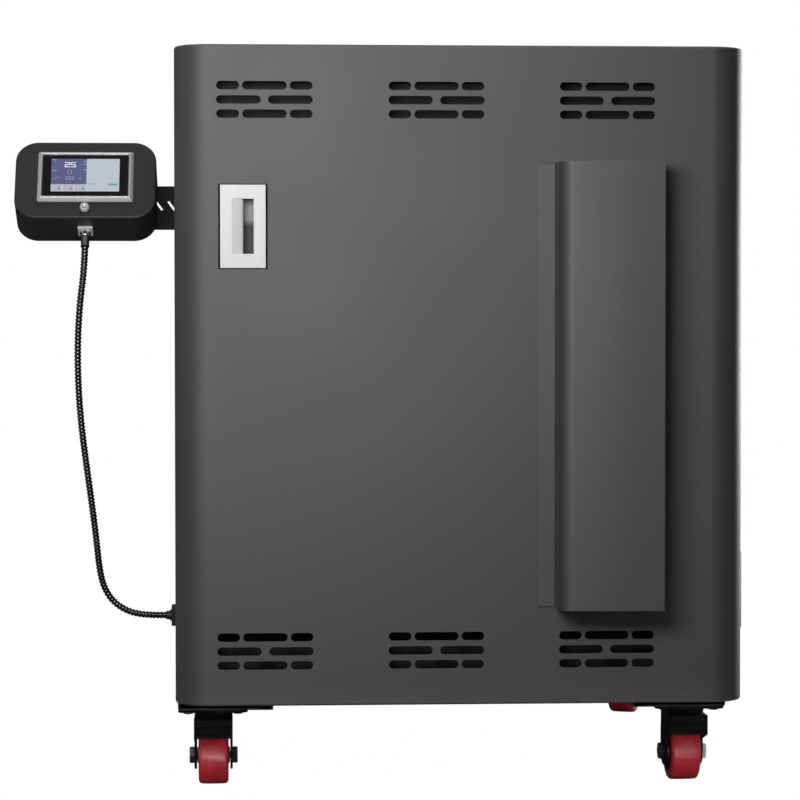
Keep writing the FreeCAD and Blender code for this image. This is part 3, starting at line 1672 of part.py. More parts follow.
def caster_fork(name):
    """A pressed fork: a round race on top, two legs and a rolled lip across the front."""
    half = fork_wide / 2
    made = body("caster_fork_" + name)
    outline = sketch_on(made, "YZ_Plane", -half)
    front_y = -fork_deep / 2
    corners = [
        (front_y, fork_top),
        (front_y, lip_low),
        (caster_trail - fork_end, wheel_radius + fork_end),
        (caster_trail - fork_end, wheel_radius - fork_end),
        (caster_trail + fork_end, wheel_radius - fork_end),
        (caster_trail + fork_end, wheel_radius + fork_end),
        (fork_heel, fork_top),
    ]
    polygon(outline, corners)
    pad(made, outline, fork_wide)
    foot = wheel_radius - fork_end
    round_body(
        made,
        fork_end - fit_gap,
        lambda edge: along(edge, "x") and near(edge.CenterOfMass.z, foot),
    )
    inner = half - fork_sheet
    space = sketch_on(made, "YZ_Plane", -inner)
    reach = fork_deep + fork_end
    polygon(space, rectangle((front_y + fork_sheet, foot - 1), (reach, fork_top - fork_sheet)))
    pocket(made, space, inner * 2, backwards=True)
    mouth = sketch_on(made, "YZ_Plane", -inner)
    polygon(mouth, rectangle((front_y - 1, foot - 1), (front_y + fork_sheet + 1, lip_low)))
    pocket(made, mouth, inner * 2, backwards=True)
    lip = sketch_on(made, "YZ_Plane", -inner)
    circles(lip, [(front_y + lip_inset, lip_low + lip_radius)], lip_radius)
    pad(made, lip, inner * 2)
    race = sketch_on(made, "XY_Plane", fork_top)
    circles(race, [(0, 0)], race_radius)
    pad(made, race, fork_sheet)
    hole = sketch_on(made, "XY_Plane", fork_top + fork_sheet)
    circles(hole, [(0, 0)], king_radius + running_gap)
    pocket(made, hole, fork_sheet * 3)
    axle = sketch_on(made, "YZ_Plane", -half)
    circles(axle, [(caster_trail, wheel_radius)], axle_radius + running_gap)
    pocket(made, axle, fork_wide, backwards=True)
    return sub_part(stand(made, name), "caster_fork_" + name)


def caster_axle(name):
    """A bolt through both legs, with a hexagon head and a nut."""
    half = fork_wide / 2
    head = (axle_overall - fork_wide) / 2
    centre = (caster_trail, wheel_radius)
    shank = rod((-half - head, centre[0], centre[1]), axle_radius, axle_overall, "X")
    left = hexagon(centre, nut_across, -half - head, head)
    right = hexagon(centre, nut_across, half, head)
    return sub_part(stand(fuse([shank, left, right]), name), "caster_axle_" + name)


def caster_wheel(name):
    """A cast core with a moulded tread round it, as two solids in one wheel."""
    half = wheel_wide / 2
    core = wheel_radius - tread_depth
    tread = body("tread_" + name)
    outline = sketch_on(tread, "XZ_Plane", -caster_trail, wheel_radius)
    corners = [
        (-half, core),
        (half, core),
        (half, wheel_radius - wheel_round),
        (half - wheel_round, wheel_radius),
        (-half + wheel_round, wheel_radius),
        (-half, wheel_radius - wheel_round),
    ]
    polygon(outline, corners)
    revolve(tread, outline)
    hub = body("hub_" + name)
    outline = sketch_on(hub, "XZ_Plane", -caster_trail, wheel_radius)
    long_half = fork_wide / 2 - fork_sheet - hub_gap
    rim = core - hub_rim
    corners = [
        (-long_half, axle_radius + running_gap),
        (long_half, axle_radius + running_gap),
        (long_half, hub_radius),
        (hub_web, hub_radius),
        (hub_web, rim),
        (half, rim),
        (half, core),
        (-half, core),
        (-half, rim),
        (-hub_web, rim),
        (-hub_web, hub_radius),
        (-long_half, hub_radius),
    ]
    polygon(outline, corners)
    revolve(hub, outline)
    return sub_part(stand(group([tread, hub]), name), "caster_wheel_" + name)


def build_cabinet():
    base_frame()
    outer_shell()
    bottom_panel()
    rear_panel()
    panel_screws()
    front_frame()
    inner_casing()
    fibre_insulation()
    lining()
    side_element(-1, "element_left")
    side_element(1, "element_right")
    thermocouple()
    kiln_shelf()
    terminal_blocks()
    electrics_plate()
    heat_sink()
    power_relays()
    power_cable_gland()
    fixed_barrels()
    hinge_pins()
    magnetic_catches()


def build_controller():
    controller_bracket()
    controller_case()
    controller_back()
    display_bezel()
    display_screen()
    control_board()
    toggle_bushing()
    toggle_lever()
    conduit_connector()
    conduit_gland()
    conduit()


def build_door():
    door_shell()
    door_back_pan()
    door_fibre()
    door_lining()
    door_element()
    door_gasket()
    door_terminal_block()
    terminal_cover()
    terminal_cover_screws()
    pull_handle()
    door_barrels()


def build_casters():
    caster_plates()
    for name in CASTERS:
        caster_fork(name)
        caster_axle(name)
        caster_wheel(name)


def check_document():
    """Stop on any object that failed, and on any sub-part with a bad shape."""
    for made in DOC.Objects:
        if "Invalid" in made.State or "Error" in made.State:
            raise RuntimeError("%s failed: %s" % (made.Label, made.State))
    for made in SUB_PARTS:
        if made.Shape.isNull() or not made.Shape.isValid() or not made.Shape.Solids:
            raise RuntimeError("%s has no valid solid" % made.Label)


def write_files():
    os.makedirs("parts", exist_ok=True)
    for made in SUB_PARTS:
        made.Shape.exportStep("parts/%s.step" % made.Label)
        print(made.Label, len(made.Shape.Solids), round(made.Shape.Volume))


build_cabinet()
build_controller()
build_door()
build_casters()
DOC.recompute()
check_document()
write_files()
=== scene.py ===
"""The looks of a front-loading pottery kiln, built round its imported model.

Lengths are in metres. X runs to the kiln's right, Y from its door to its back and Z up from the
floor. Each sub-assembly is a class with its sizes and the methods that build and dress its pieces.
"""

import logging
import math
from dataclasses import dataclass, field
from enum import Enum
from typing import Callable, Iterable, Sequence

import bmesh
import bpy
from mathutils import Matrix, Vector


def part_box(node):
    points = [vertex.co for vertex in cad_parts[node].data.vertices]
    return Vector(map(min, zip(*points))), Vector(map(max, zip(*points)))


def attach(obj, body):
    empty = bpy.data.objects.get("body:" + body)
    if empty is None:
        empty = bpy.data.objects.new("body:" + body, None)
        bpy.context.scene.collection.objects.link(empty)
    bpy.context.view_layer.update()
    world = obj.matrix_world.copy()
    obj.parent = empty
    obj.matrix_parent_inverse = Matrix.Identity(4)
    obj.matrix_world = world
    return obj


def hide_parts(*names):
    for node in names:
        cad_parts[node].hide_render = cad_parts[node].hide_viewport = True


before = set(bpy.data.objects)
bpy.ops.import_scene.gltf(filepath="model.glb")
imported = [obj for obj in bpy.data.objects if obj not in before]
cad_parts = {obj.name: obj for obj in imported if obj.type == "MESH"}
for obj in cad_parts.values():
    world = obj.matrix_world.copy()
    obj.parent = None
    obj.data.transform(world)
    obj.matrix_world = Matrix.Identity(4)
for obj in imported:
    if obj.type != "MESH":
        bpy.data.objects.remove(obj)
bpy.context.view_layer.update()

logging.basicConfig(level=logging.INFO, format="%(message)s")
LOG = logging.getLogger("kiln")

MM = 0.001
SEED = 7
Point = Sequence[float]
Test = Callable[[bmesh.types.BMEdge], bool]


class Body(Enum):
    """The bodies of the kiln that pieces ride on."""

    CABINET = "cabinet"
    DOOR = "door"
    TOGGLE = "toggle"


class Plane(Enum):
    """The upright or level plane that a brick pattern is laid in, as the turn that brings it to XY."""

    UPRIGHT_ACROSS = (math.pi / 2, 0.0, 0.0)
    UPRIGHT_ALONG = (math.pi / 2, 0.0, math.pi / 2)
    LEVEL = (0.0, 0.0, 0.0)


# Node trees


class Value:
    """A socket that takes part in Python sums, each of which adds a Math node."""

    def __init__(self, tree: bpy.types.NodeTree, socket: bpy.types.NodeSocket) -> None:
        """Wrap one output socket of a tree."""
        self.tree = tree
        self.socket = socket

    def math(self, operation: str, *terms: object) -> "Value":
        """Add a Math node.

        Args:
            operation: the node's operation.
            terms: its values, which are numbers or other wrapped sockets.

        Returns:
            The node's result.
        """
        node = self.tree.nodes.new("ShaderNodeMath")
        node.operation = operation
        for entry, term in zip(node.inputs, terms):
            feed(self.tree, entry, term)
        return Value(self.tree, node.outputs[0])

    def __add__(self, other: object) -> "Value":
        """Sum."""
        return self.math("ADD", self, other)

    def __radd__(self, other: object) -> "Value":
        """Sum, with the number first."""
        return self.math("ADD", other, self)

    def __sub__(self, other: object) -> "Value":
        """Difference."""
        return self.math("SUBTRACT", self, other)

    def __rsub__(self, other: object) -> "Value":
        """Difference, with the number first."""
        return self.math("SUBTRACT", other, self)

    def __mul__(self, other: object) -> "Value":
        """Product."""
        return self.math("MULTIPLY", self, other)

    def __rmul__(self, other: object) -> "Value":
        """Product, with the number first."""
        return self.math("MULTIPLY", other, self)

    def __truediv__(self, other: object) -> "Value":
        """Quotient."""
        return self.math("DIVIDE", self, other)

    def __mod__(self, other: object) -> "Value":
        """Remainder."""
        return self.math("MODULO", self, other)

    def __gt__(self, other: object) -> "Value":
        """One where this is greater, and otherwise nought."""
        return self.math("GREATER_THAN", self, other)

    def held(self) -> "Value":
        """The value, kept from 0 to 1."""
        return self.math("MINIMUM", self.math("MAXIMUM", self, 0.0), 1.0)


def feed(tree: bpy.types.NodeTree, entry: bpy.types.NodeSocket, term: object) -> None:
    """Link or set one input socket.

    Args:
        tree: the tree that holds the socket.
        entry: the input.
        term: a wrapped socket, a number, a colour, a vector or a material.
    """
    if isinstance(term, Value):
        tree.links.new(term.socket, entry)
    else:
        entry.default_value = term


class Graph:
    """A node tree that is built one node at a time."""

    def __init__(self, tree: bpy.types.NodeTree) -> None:
        """Take an empty tree."""
        self.tree = tree

    def node(self, kind: str, settings: dict | None = None, sockets: dict | None = None) -> bpy.types.Node:
        """Add a node.

        Args:
            kind: the node's type.
            settings: properties that are set first; "stops" are a colour ramp's.
            sockets: values or links of its inputs, by name or number.

        Returns:
            The new node.
        """
        made = self.tree.nodes.new(kind)
        for name, setting in (settings or {}).items():
            if name == "stops":
                self.ramp(made.color_ramp, setting)
            else:
                setattr(made, name, setting)
        for name, term in (sockets or {}).items():
            feed(self.tree, made.inputs[name], term)
        return made

    def out(self, kind: str, settings: dict | None = None, sockets: dict | None = None, port: object = 0) -> Value:
        """Add a node and return one of its outputs."""
        return Value(self.tree, self.node(kind, settings, sockets).outputs[port])

    @staticmethod
    def ramp(ramp: bpy.types.ColorRamp, stops: Sequence[tuple[float, Point]]) -> None:
        """Set a colour ramp's stops."""
        while len(ramp.elements) < len(stops):
            ramp.elements.new(0.5)
        for element, (position, colour) in zip(ramp.elements, stops):
            element.position = position
            element.color = (*colour, 1.0)


class Shader(Graph):
    """The node tree of one material."""

    def __init__(self, name: str) -> None:
        """Start a material."""
        self.material = bpy.data.materials.new(name)
        self.material.use_nodes = True
        self.material.node_tree.nodes.clear()
        super().__init__(self.material.node_tree)
        self.place = self.out("ShaderNodeTexCoord", port="Object")

    def turned(self, turn: Point = (0, 0, 0), stretch: Point = (1, 1, 1), shift: Point = (0, 0, 0)) -> Value:
        """The place on the object, turned, stretched and shifted."""
        settings = {"Vector": self.place, "Rotation": turn, "Scale": stretch, "Location": shift}
        return self.out("ShaderNodeMapping", None, settings)

    def noise(self, per_metre: float, detail: float = 3.0, stretch: Point = (1, 1, 1)) -> Value:
        """Smooth noise from 0 to 1 with about so many patches in a metre."""
        sockets = {"Vector": self.turned(stretch=stretch), "Scale": per_metre, "Detail": detail}
        return self.out("ShaderNodeTexNoise", None, sockets, "Fac")

    def mix(self, share: object, one: object, other: object) -> Value:
        """Colour between two colours."""
        made = self.node("ShaderNodeMix", {"data_type": "RGBA"})
        for entry, term in zip((made.inputs[0], made.inputs[6], made.inputs[7]), (share, one, other)):
            feed(self.tree, entry, term)
        return Value(self.tree, made.outputs[2])

    def bump(self, height: Value, depth: float, under: Value | None = None) -> Value:
        """A normal that is raised by a height of 0 to 1 times a depth in metres."""
        sockets = {"Height": height, "Distance": depth, "Strength": 1.0}
        if under is not None:
            sockets["Normal"] = under
        return self.out("ShaderNodeBump", None, sockets)

    def finish(self, **sockets: object) -> bpy.types.Material:
        """Join a surface shader to the output.

        Args:
            sockets: the shader's inputs, with underscores for spaces.

        Returns:
            The finished material.
        """
        named = {name.replace("_", " "): term for name, term in sockets.items()}
        surface = self.out("ShaderNodeBsdfPrincipled", None, named)
        self.node("ShaderNodeOutputMaterial", None, {"Surface": surface})
        return self.material


def rgb(colour: Point) -> tuple[float, float, float, float]:
    """A colour with full cover."""
    return (*colour, 1.0)


def shade(colour: Point, share: float) -> tuple[float, float, float]:
    """A colour made lighter or darker by a share."""
    return tuple(min(1.0, channel * share) for channel in colour)


# Finishes


@dataclass(frozen=True)
class Paint:
    """Baked powder paint on sheet steel: a fine orange peel, faint clouds and paler edges that are painted highlight
    mixed with rubbed wear.
    """

    name: str
    colour: Point
    roughness: float = 0.42
    metallic: float = 0.0
    specular: float = 0.5
    peel: float = 0.00004
    peel_count: float = 420.0
    clouds: float = 0.10
    edge_glint_and_rub: float = 0.5

    def build(self) -> bpy.types.Material:
        """Make the material."""
        shader = Shader(self.name)
        cloud = shader.noise(5.0, 4.0)
        speck = shader.noise(1400.0, 2.0)
        low = rgb(shade(self.colour, 1 - self.clouds))
        high = rgb(shade(self.colour, 1 + self.clouds))
        tone = shader.mix(cloud * 0.8 + speck * 0.2, low, high)
        edge_glint_wear = shader.out("ShaderNodeAttribute", {"attribute_name": "edge_glint_wear"}, None, "Fac")
        # Painted edge highlight mixed with wear: bevel faces turn paler in noisy patches.
        glint_and_rub = (edge_glint_wear * shader.noise(60.0) * self.edge_glint_and_rub).held()
        tone = shader.mix(glint_and_rub, tone, rgb(shade(self.colour, 2.2)))
        rough = self.roughness - 0.06 + 0.12 * cloud
        peel = shader.bump(shader.noise(self.peel_count, 2.0), self.peel)
        grain = shader.bump(speck, self.peel * 0.4, peel)
        return shader.finish(
            Base_Color=tone, Roughness=rough, Metallic=self.metallic, Normal=grain, Specular_IOR_Level=self.specular
        )


@dataclass(frozen=True)
class PullFinish:
    """White moulded plastic whose finger hollow has painted shade in its deep half, lighter near the top and darker
    towards the bottom, and is matt there.
    """

    name: str = "pull_white"
    colour: Point = (0.79, 0.795, 0.795)
    painted_shade_top: Point = (0.40, 0.40, 0.41)
    painted_shade_bottom: Point = (0.085, 0.085, 0.088)
    hollow_start: float = -0.2732
    hollow_full: float = -0.2700
    hollow_depth: float = -0.4325
    hollow_level: float = 0.7345

    def build(self) -> bpy.types.Material:
        """Make the material."""
        shader = Shader(self.name)
        parts = shader.node("ShaderNodeSeparateXYZ", None, {0: shader.place})
        x, y, z = (Value(shader.tree, parts.outputs[n]) for n in range(3))
        # Painted shade: the deep half of the hollow is darkened, and painted lighter towards its top.
        across = ((x - self.hollow_start) / (self.hollow_full - self.hollow_start)).held()
        hollow_shade_mask = across * (y > self.hollow_depth)
        level = ((z - self.hollow_level) * 120.0 + 0.5).held()
        dark = shader.mix(level, rgb(self.painted_shade_bottom), rgb(self.painted_shade_top))
        patch = shader.noise(12.0)
        tone = shader.mix(patch, rgb(shade(self.colour, 0.97)), rgb(self.colour))
        tone = shader.mix(hollow_shade_mask, tone, dark)
        peel = shader.bump(shader.noise(300.0, 2.0), 0.00002)
        rough = 0.32 + 0.4 * hollow_shade_mask
        return shader.finish(Base_Color=tone, Roughness=rough, Normal=peel)


@dataclass(frozen=True)
class Metal:
    """Bare or plated metal with rolling or turning marks along one axis."""

    name: str
    colour: Point
    roughness: float = 0.3
    grain: Point = (1.0, 1.0, 14.0)
    depth: float = 0.00002
    stain: float = 0.15

    def build(self) -> bpy.types.Material:
        """Make the material."""
        shader = Shader(self.name)
        marks = shader.noise(160.0, 4.0, self.grain)
        stain = shader.noise(22.0, 5.0)
        tone = shader.mix(stain, rgb(shade(self.colour, 1 - self.stain)), rgb(self.colour))
        rough = self.roughness - 0.05 + 0.10 * marks + 0.08 * stain
        normal = shader.bump(marks, self.depth)
        return shader.finish(Base_Color=tone, Roughness=rough, Metallic=1.0, Normal=normal)


@dataclass(frozen=True)
class Moulded:
    """Moulded plastic, rubber or urethane with a fine matt texture and a little dust."""

    name: str
    colour: Point
    roughness: float = 0.5
    texture: float = 0.00003
    texture_count: float = 900.0
    dust: float = 0.04
    coat: float = 0.0
    specular: float = 0.5

    def build(self) -> bpy.types.Material:
        """Make the material."""
        shader = Shader(self.name)
        fine = shader.noise(self.texture_count, 3.0)
        patch = shader.noise(35.0, 4.0)
        tone = shader.mix(patch, rgb(shade(self.colour, 0.86)), rgb(shade(self.colour, 1.1)))
        tone = shader.mix((patch > 0.6) * self.dust, tone, rgb((0.55, 0.53, 0.50)))
        rough = self.roughness - 0.08 + 0.16 * patch
        normal = shader.bump(fine, self.texture)
        return shader.finish(
            Base_Color=tone, Roughness=rough, Normal=normal, Coat_Weight=self.coat,
            Coat_Roughness=0.2, Specular_IOR_Level=self.specular
        )


@dataclass(frozen=True)
class Firebrick:
    """Soft porous firebrick, laid in courses with thin joints and scorched in places."""

    name: str
    plane: Plane
    colour: Point = (0.80, 0.71, 0.55)
    joint: Point = (0.50, 0.42, 0.31)
    brick: Point = (0.228, 0.114)
    shift: Point = (0.0, 0.0, 0.0)

    def build(self) -> bpy.types.Material:
        """Make the material."""
        shader = Shader(self.name)
        pores = shader.noise(420.0, 5.0)
        blotch = shader.noise(9.0, 5.0)
        sockets = {
            "Vector": shader.turned(self.plane.value, shift=self.shift), "Scale": 1.0, "Mortar Size": 0.0011,
            "Mortar Smooth": 0.3, "Brick Width": self.brick[0], "Row Height": self.brick[1],
            "Color1": rgb((0.0,) * 3), "Color2": rgb((1.0,) * 3), "Mortar": rgb((0.5,) * 3), "Bias": 0.0,
        }
        laid = shader.node("ShaderNodeTexBrick", {"offset": 0.5}, sockets)
        each = Value(shader.tree, laid.outputs["Color"])
        gap = Value(shader.tree, laid.outputs["Fac"])
        tone = shader.mix(each * 0.35 + blotch * 0.65, rgb(shade(self.colour, 0.86)), rgb(shade(self.colour, 1.12)))
        tone = shader.mix((pores > 0.62) * 0.35, tone, rgb(shade(self.colour, 0.55)))
        tone = shader.mix(gap * 0.8, tone, rgb(self.joint))
        relief = shader.bump(1.0 - gap, 0.0009, shader.bump(pores, 0.0007))
        return shader.finish(Base_Color=tone, Roughness=0.93, Normal=relief, Specular_IOR_Level=0.2)


@dataclass(frozen=True)
class Fibre:
    """Ceramic fibre board or cord: matted strands and a soft sheen."""

    name: str
    colour: Point = (0.86, 0.85, 0.81)
    strands: float = 260.0
    depth: float = 0.0006

    def build(self) -> bpy.types.Material:
        """Make the material."""
        shader = Shader(self.name)
        matted = shader.noise(self.strands, 6.0, (1.0, 0.35, 2.2))
        lumps = shader.noise(30.0, 3.0)
        tone = shader.mix(matted, rgb(shade(self.colour, 0.82)), rgb(self.colour))
        normal = shader.bump(lumps, self.depth * 1.6, shader.bump(matted, self.depth))
        return shader.finish(Base_Color=tone, Roughness=0.96, Normal=normal, Sheen_Weight=0.25)


@dataclass(frozen=True)
class Lit:
    """A lit area of the display, with a soft vertical fade and a fine pixel grid."""

    name: str
    colour: Point
    strength: float = 0.8
    fade: float = 0.25
    low: float = 0.76
    high: float = 0.82

    def build(self) -> bpy.types.Material:
        """Make the material."""
        shader = Shader(self.name)
        split = shader.node("ShaderNodeSeparateXYZ", None, {0: shader.place})
        height = ((Value(shader.tree, split.outputs[2]) - self.low) / (self.high - self.low)).held()
        grid = ((Value(shader.tree, split.outputs[0]) * 2500.0) % 1.0).math("ABSOLUTE", 0.0)
        tone = shader.mix(height * self.fade + grid * 0.02, rgb(shade(self.colour, 0.9)), rgb(shade(self.colour, 1.2)))
        return shader.finish(
            Base_Color=rgb(shade(self.colour, 0.3)), Roughness=0.18, Emission_Color=tone,
            Emission_Strength=self.strength
        )


PAINT_GREY = (0.160, 0.161, 0.164)


class Finishes:
    """Every finish of the kiln, made once and kept under its name."""

    def __init__(self) -> None:
        """Build the materials."""
        recipes = [
            Paint("cabinet_grey", PAINT_GREY, 0.66, 0.95, 0.5),
            # Near-black back pan: painted shade seen through the door's vent slots.
            Paint("pan_painted_shade", (0.010, 0.010, 0.011), 0.6, 0.0, 0.3),
            Paint("cast_zinc", (0.82, 0.82, 0.81), 0.46, 0.35, 0.5, 0.00002, 500.0, 0.06, 0.0),
            Paint("bright_cap", (0.92, 0.92, 0.91), 0.34, 0.3, 0.5, 0.00001, 500.0, 0.03, 0.0),
            Paint("rail_grey", (0.018, 0.018, 0.020), 0.5, 0.0, 0.3),
            Paint("caster_black", (0.003, 0.003, 0.0034), 0.62, 0.0, 0.12, 0.00006, 300.0, 0.2, 0.25),
            # Near-black matt paint for the ring behind the pull: painted shadow.
            Paint("painted_shadow_black", (0.003, 0.003, 0.003), 0.85, 0.0, 0.08, 0.00003, 500.0, 0.1, 0.0),
            Paint("bracket_black", (0.005, 0.005, 0.006), 0.55, 0.0, 0.2, 0.00005, 500.0, 0.15, 0.3),
            Paint("case_black", (0.022, 0.022, 0.023), 0.5, 0.0, 0.5, 0.00005, 520.0, 0.08, 0.3),
            PullFinish(),
            Metal("plated_steel", (0.60, 0.61, 0.62), 0.34),
            Metal("rolled_sheet", (0.52, 0.53, 0.53), 0.42, (1.0, 1.0, 9.0)),
            Metal("dark_bolt", (0.14, 0.14, 0.14), 0.42),
            Metal("bright_nickel", (0.82, 0.81, 0.79), 0.16, (6.0, 6.0, 1.0), 0.00001, 0.05),
            Paint("bezel_steel", (0.72, 0.72, 0.73), 0.42, 0.5, 0.5, 0.00001, 500.0, 0.08, 0.0),
            Metal("bezel_lip", (0.88, 0.89, 0.89), 0.36, (1.0, 8.0, 8.0)),
            Metal("heating_alloy", (0.20, 0.17, 0.15), 0.6),
            Metal("sink_alloy", (0.72, 0.73, 0.74), 0.38),
            Metal("hose_black", (0.13, 0.13, 0.135), 0.24, (1.0, 1.0, 2.0), 0.00001, 0.3),
            Moulded("wheel_red", (0.52, 0.022, 0.034), 0.46, 0.00003, 500.0, 0.05, 0.08),
            Moulded("wheel_core", (0.22, 0.010, 0.014), 0.5),
            Moulded("black_moulding", (0.012, 0.012, 0.013), 0.48),
            Moulded("glass_black", (0.004, 0.004, 0.005), 0.08, 0.000002, 100.0, 0.0, 0.5),
            Moulded("relay_grey", (0.03, 0.03, 0.035), 0.5),
            Moulded("board_green", (0.02, 0.16, 0.06), 0.4),
            Moulded("glazed_white", (0.84, 0.83, 0.79), 0.25, 0.00002, 200.0),
            Moulded("shelf_clay", (0.66, 0.55, 0.42), 0.85, 0.0002, 700.0, 0.2),
            Firebrick("brick_across", Plane.UPRIGHT_ACROSS),
            Firebrick("brick_along", Plane.UPRIGHT_ALONG),
            Firebrick("brick_level", Plane.LEVEL),
            Fibre("fibre_board"),
            Fibre("seal_fibre", (0.80, 0.79, 0.76), 480.0, 0.0005),
            Lit("display_violet", (0.110, 0.118, 0.240), 0.8),
            Lit("display_pale", (0.50, 0.54, 0.59), 0.85, 0.12),
            Lit("display_key", (0.44, 0.44, 0.52), 0.9, 0.0),
            Lit("display_marks", (0.80, 0.82, 0.90), 0.9, 0.0),
            Lit("display_dim", (0.34, 0.35, 0.50), 0.9, 0.0),
            Lit("display_tint", (0.16, 0.34, 0.36), 0.8),
            Lit("display_shade", (0.30, 0.30, 0.36), 0.85, 0.0),
            Lit("display_sand", (0.38, 0.40, 0.36), 0.9, 0.0),
        ]
        self.made = {recipe.name: recipe.build() for recipe in recipes}

    def __getitem__(self, name: str) -> bpy.types.Material:
        """The material of that name."""
        return self.made[name]


# Meshes


def fresh_object(name: str, mesh: bpy.types.Mesh) -> bpy.types.Object:
    """Put a mesh into the scene as an object at the origin."""
    made = bpy.data.objects.new(name, mesh)
    bpy.context.scene.collection.objects.link(made)
    return made


def from_bmesh(name: str, shape: bmesh.types.BMesh) -> bpy.types.Object:
    """Turn a bmesh into an object and free it."""
    mesh = bpy.data.meshes.new(name)
    shape.to_mesh(mesh)
    shape.free()
    return fresh_object(name, mesh)


def joined_copy(node: str) -> bmesh.types.BMesh:
    """A CAD node's shape with its loose triangles joined and its flat faces made whole."""
    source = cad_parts[node].data
    plain = bpy.data.meshes.new("plain")
    plain.from_pydata([v.co for v in source.vertices], [], [tuple(p.vertices) for p in source.polygons])
    shape = bmesh.new()
    shape.from_mesh(plain)
    bpy.data.meshes.remove(plain)
    bmesh.ops.remove_doubles(shape, verts=shape.verts, dist=2e-6)
    bmesh.ops.dissolve_limit(shape, angle_limit=math.radians(0.2), verts=shape.verts, edges=shape.edges)
    return shape


def soften(shape: bmesh.types.BMesh, width: float, rounds: int = 2, test: Test | None = None, angle: float = 28) -> None:
    """Round the sharp edges of a shape that pass a test, and mark the new faces for the painted edge highlight and
    wear.

    Args:
        shape: the shape, which is changed.
        width: how far the rounding reaches, in metres.
        rounds: faces across the rounding.
        test: which sharp edges to take; all of them if left out.
        angle: the least angle of a sharp edge, in degrees.
    """
    edge_glint_wear = shape.faces.layers.float.get("edge_glint_wear") or shape.faces.layers.float.new("edge_glint_wear")
    limit = math.radians(angle)
    sharp = [edge for edge in shape.edges if edge.is_manifold and edge.calc_face_angle(0.0) > limit]
    picked = [edge for edge in sharp if test is None or test(edge)]
    if not picked:
        return
    made = bmesh.ops.bevel(
        shape, geom=picked, offset=width, offset_type="OFFSET", segments=rounds, profile=0.5,
        affect="EDGES", clamp_overlap=True, material=-1,
    )
    # This mark lets the paint lighten these faces: painted edge highlight mixed with wear.
    for face in made["faces"]:
        face[edge_glint_wear] = 1.0


def polish(made: bpy.types.Object, angle: float = 40) -> bpy.types.Object:
    """Shade an object smoothly between its sharp edges, with flat faces kept flat."""
    mesh = made.data
    mesh.shade_smooth()
    mesh.set_sharp_from_angle(angle=math.radians(angle))
    weighted = made.modifiers.new("weighted", "WEIGHTED_NORMAL")
    weighted.keep_sharp = True
    return settle(made)


def settle(made: bpy.types.Object) -> bpy.types.Object:
    """Replace an object's mesh with what its modifiers make of it, and drop them."""
    graph = bpy.context.evaluated_depsgraph_get()
    graph.update()
    final = bpy.data.meshes.new_from_object(made.evaluated_get(graph))
    made.modifiers.clear()
    old = made.data
    made.data = final
    bpy.data.meshes.remove(old)
    return made


def dress(
    made: bpy.types.Object, body: str, material: bpy.types.Material, stands_for: Iterable[str] = ()
) -> bpy.types.Object:
    """Give a piece its material, its body and the CAD nodes that it stands for."""
    made.data.materials.clear()
    made.data.materials.append(material)
    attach(made, body)
    if stands_for:
        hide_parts(*stands_for)
    LOG.info("piece %s on %s, %d faces", made.name, body, len(made.data.polygons))
    return made


def paint_node(node: str, material: bpy.types.Material) -> None:
    """Give a CAD node that stays a better material."""
    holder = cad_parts[node]
    if not holder.material_slots:
        holder.data.materials.append(material)
    for entry in holder.material_slots:
        entry.material = material
    LOG.info("node %s keeps its shape", node)


def lathe(profile: Sequence[Point], turns: int = 64, spot: Matrix = Matrix.Identity(4)) -> bmesh.types.BMesh:
    """A turned solid.

    Args:
        profile: points as (distance along the axis, radius), from end to end of a closed outline
            or from axis to axis.
        turns: faces round the axis.
        spot: where the solid goes; it is turned about local X.

    Returns:
        The shape.
    """
    shape = bmesh.new()
    closed = profile[0][1] > 0 or profile[-1][1] > 0
    rings = []
    for along, radius in profile:
        if radius <= 0:
            rings.append([shape.verts.new((along, 0, 0))] * turns)
            continue
        ring = []
        for n in range(turns):
            angle = 2 * math.pi * n / turns
            ring.append(shape.verts.new((along, radius * math.cos(angle), radius * math.sin(angle))))
        rings.append(ring)
    pairs = list(zip(rings, rings[1:]))
    if closed:
        pairs.append((rings[-1], rings[0]))
    for one, other in pairs:
        for n in range(turns):
            after = (n + 1) % turns
            corners = []
            for corner in (one[n], one[after], other[after], other[n]):
                if corner not in corners:
                    corners.append(corner)
            if len(corners) > 2:
                shape.faces.new(corners)
    bmesh.ops.recalc_face_normals(shape, faces=shape.faces)
    shape.transform(spot)
    return shape


def slab(low: Point, high: Point, spot: Matrix = Matrix.Identity(4), corner: float = 0.0) -> bmesh.types.BMesh:
    """A block between two corners, with its upright edges (local Y) rounded if asked."""
    shape = bmesh.new()
    bmesh.ops.create_cube(shape, size=1.0)
    size = [b - a for a, b in zip(low, high)]
    middle = [(a + b) / 2 for a, b in zip(low, high)]
    shape.transform(Matrix.Translation(middle) @ Matrix.Diagonal((*size, 1)))
    if corner > 0:
        edges = [e for e in shape.edges if abs((e.verts[0].co - e.verts[1].co).normalized().y) > 0.99]
        bmesh.ops.bevel(shape, geom=edges, offset=corner, segments=8, profile=0.5, affect="EDGES")
    shape.transform(spot)
    return shape


def merge(*shapes: bmesh.types.BMesh) -> bmesh.types.BMesh:
    """Several shapes in one, each still a shell of its own."""
    first = shapes[0]
    for other in shapes[1:]:
        mesh = bpy.data.meshes.new("part")
        other.to_mesh(mesh)
        other.free()
        first.from_mesh(mesh)
        bpy.data.meshes.remove(mesh)
    return first


# Geometry node trees


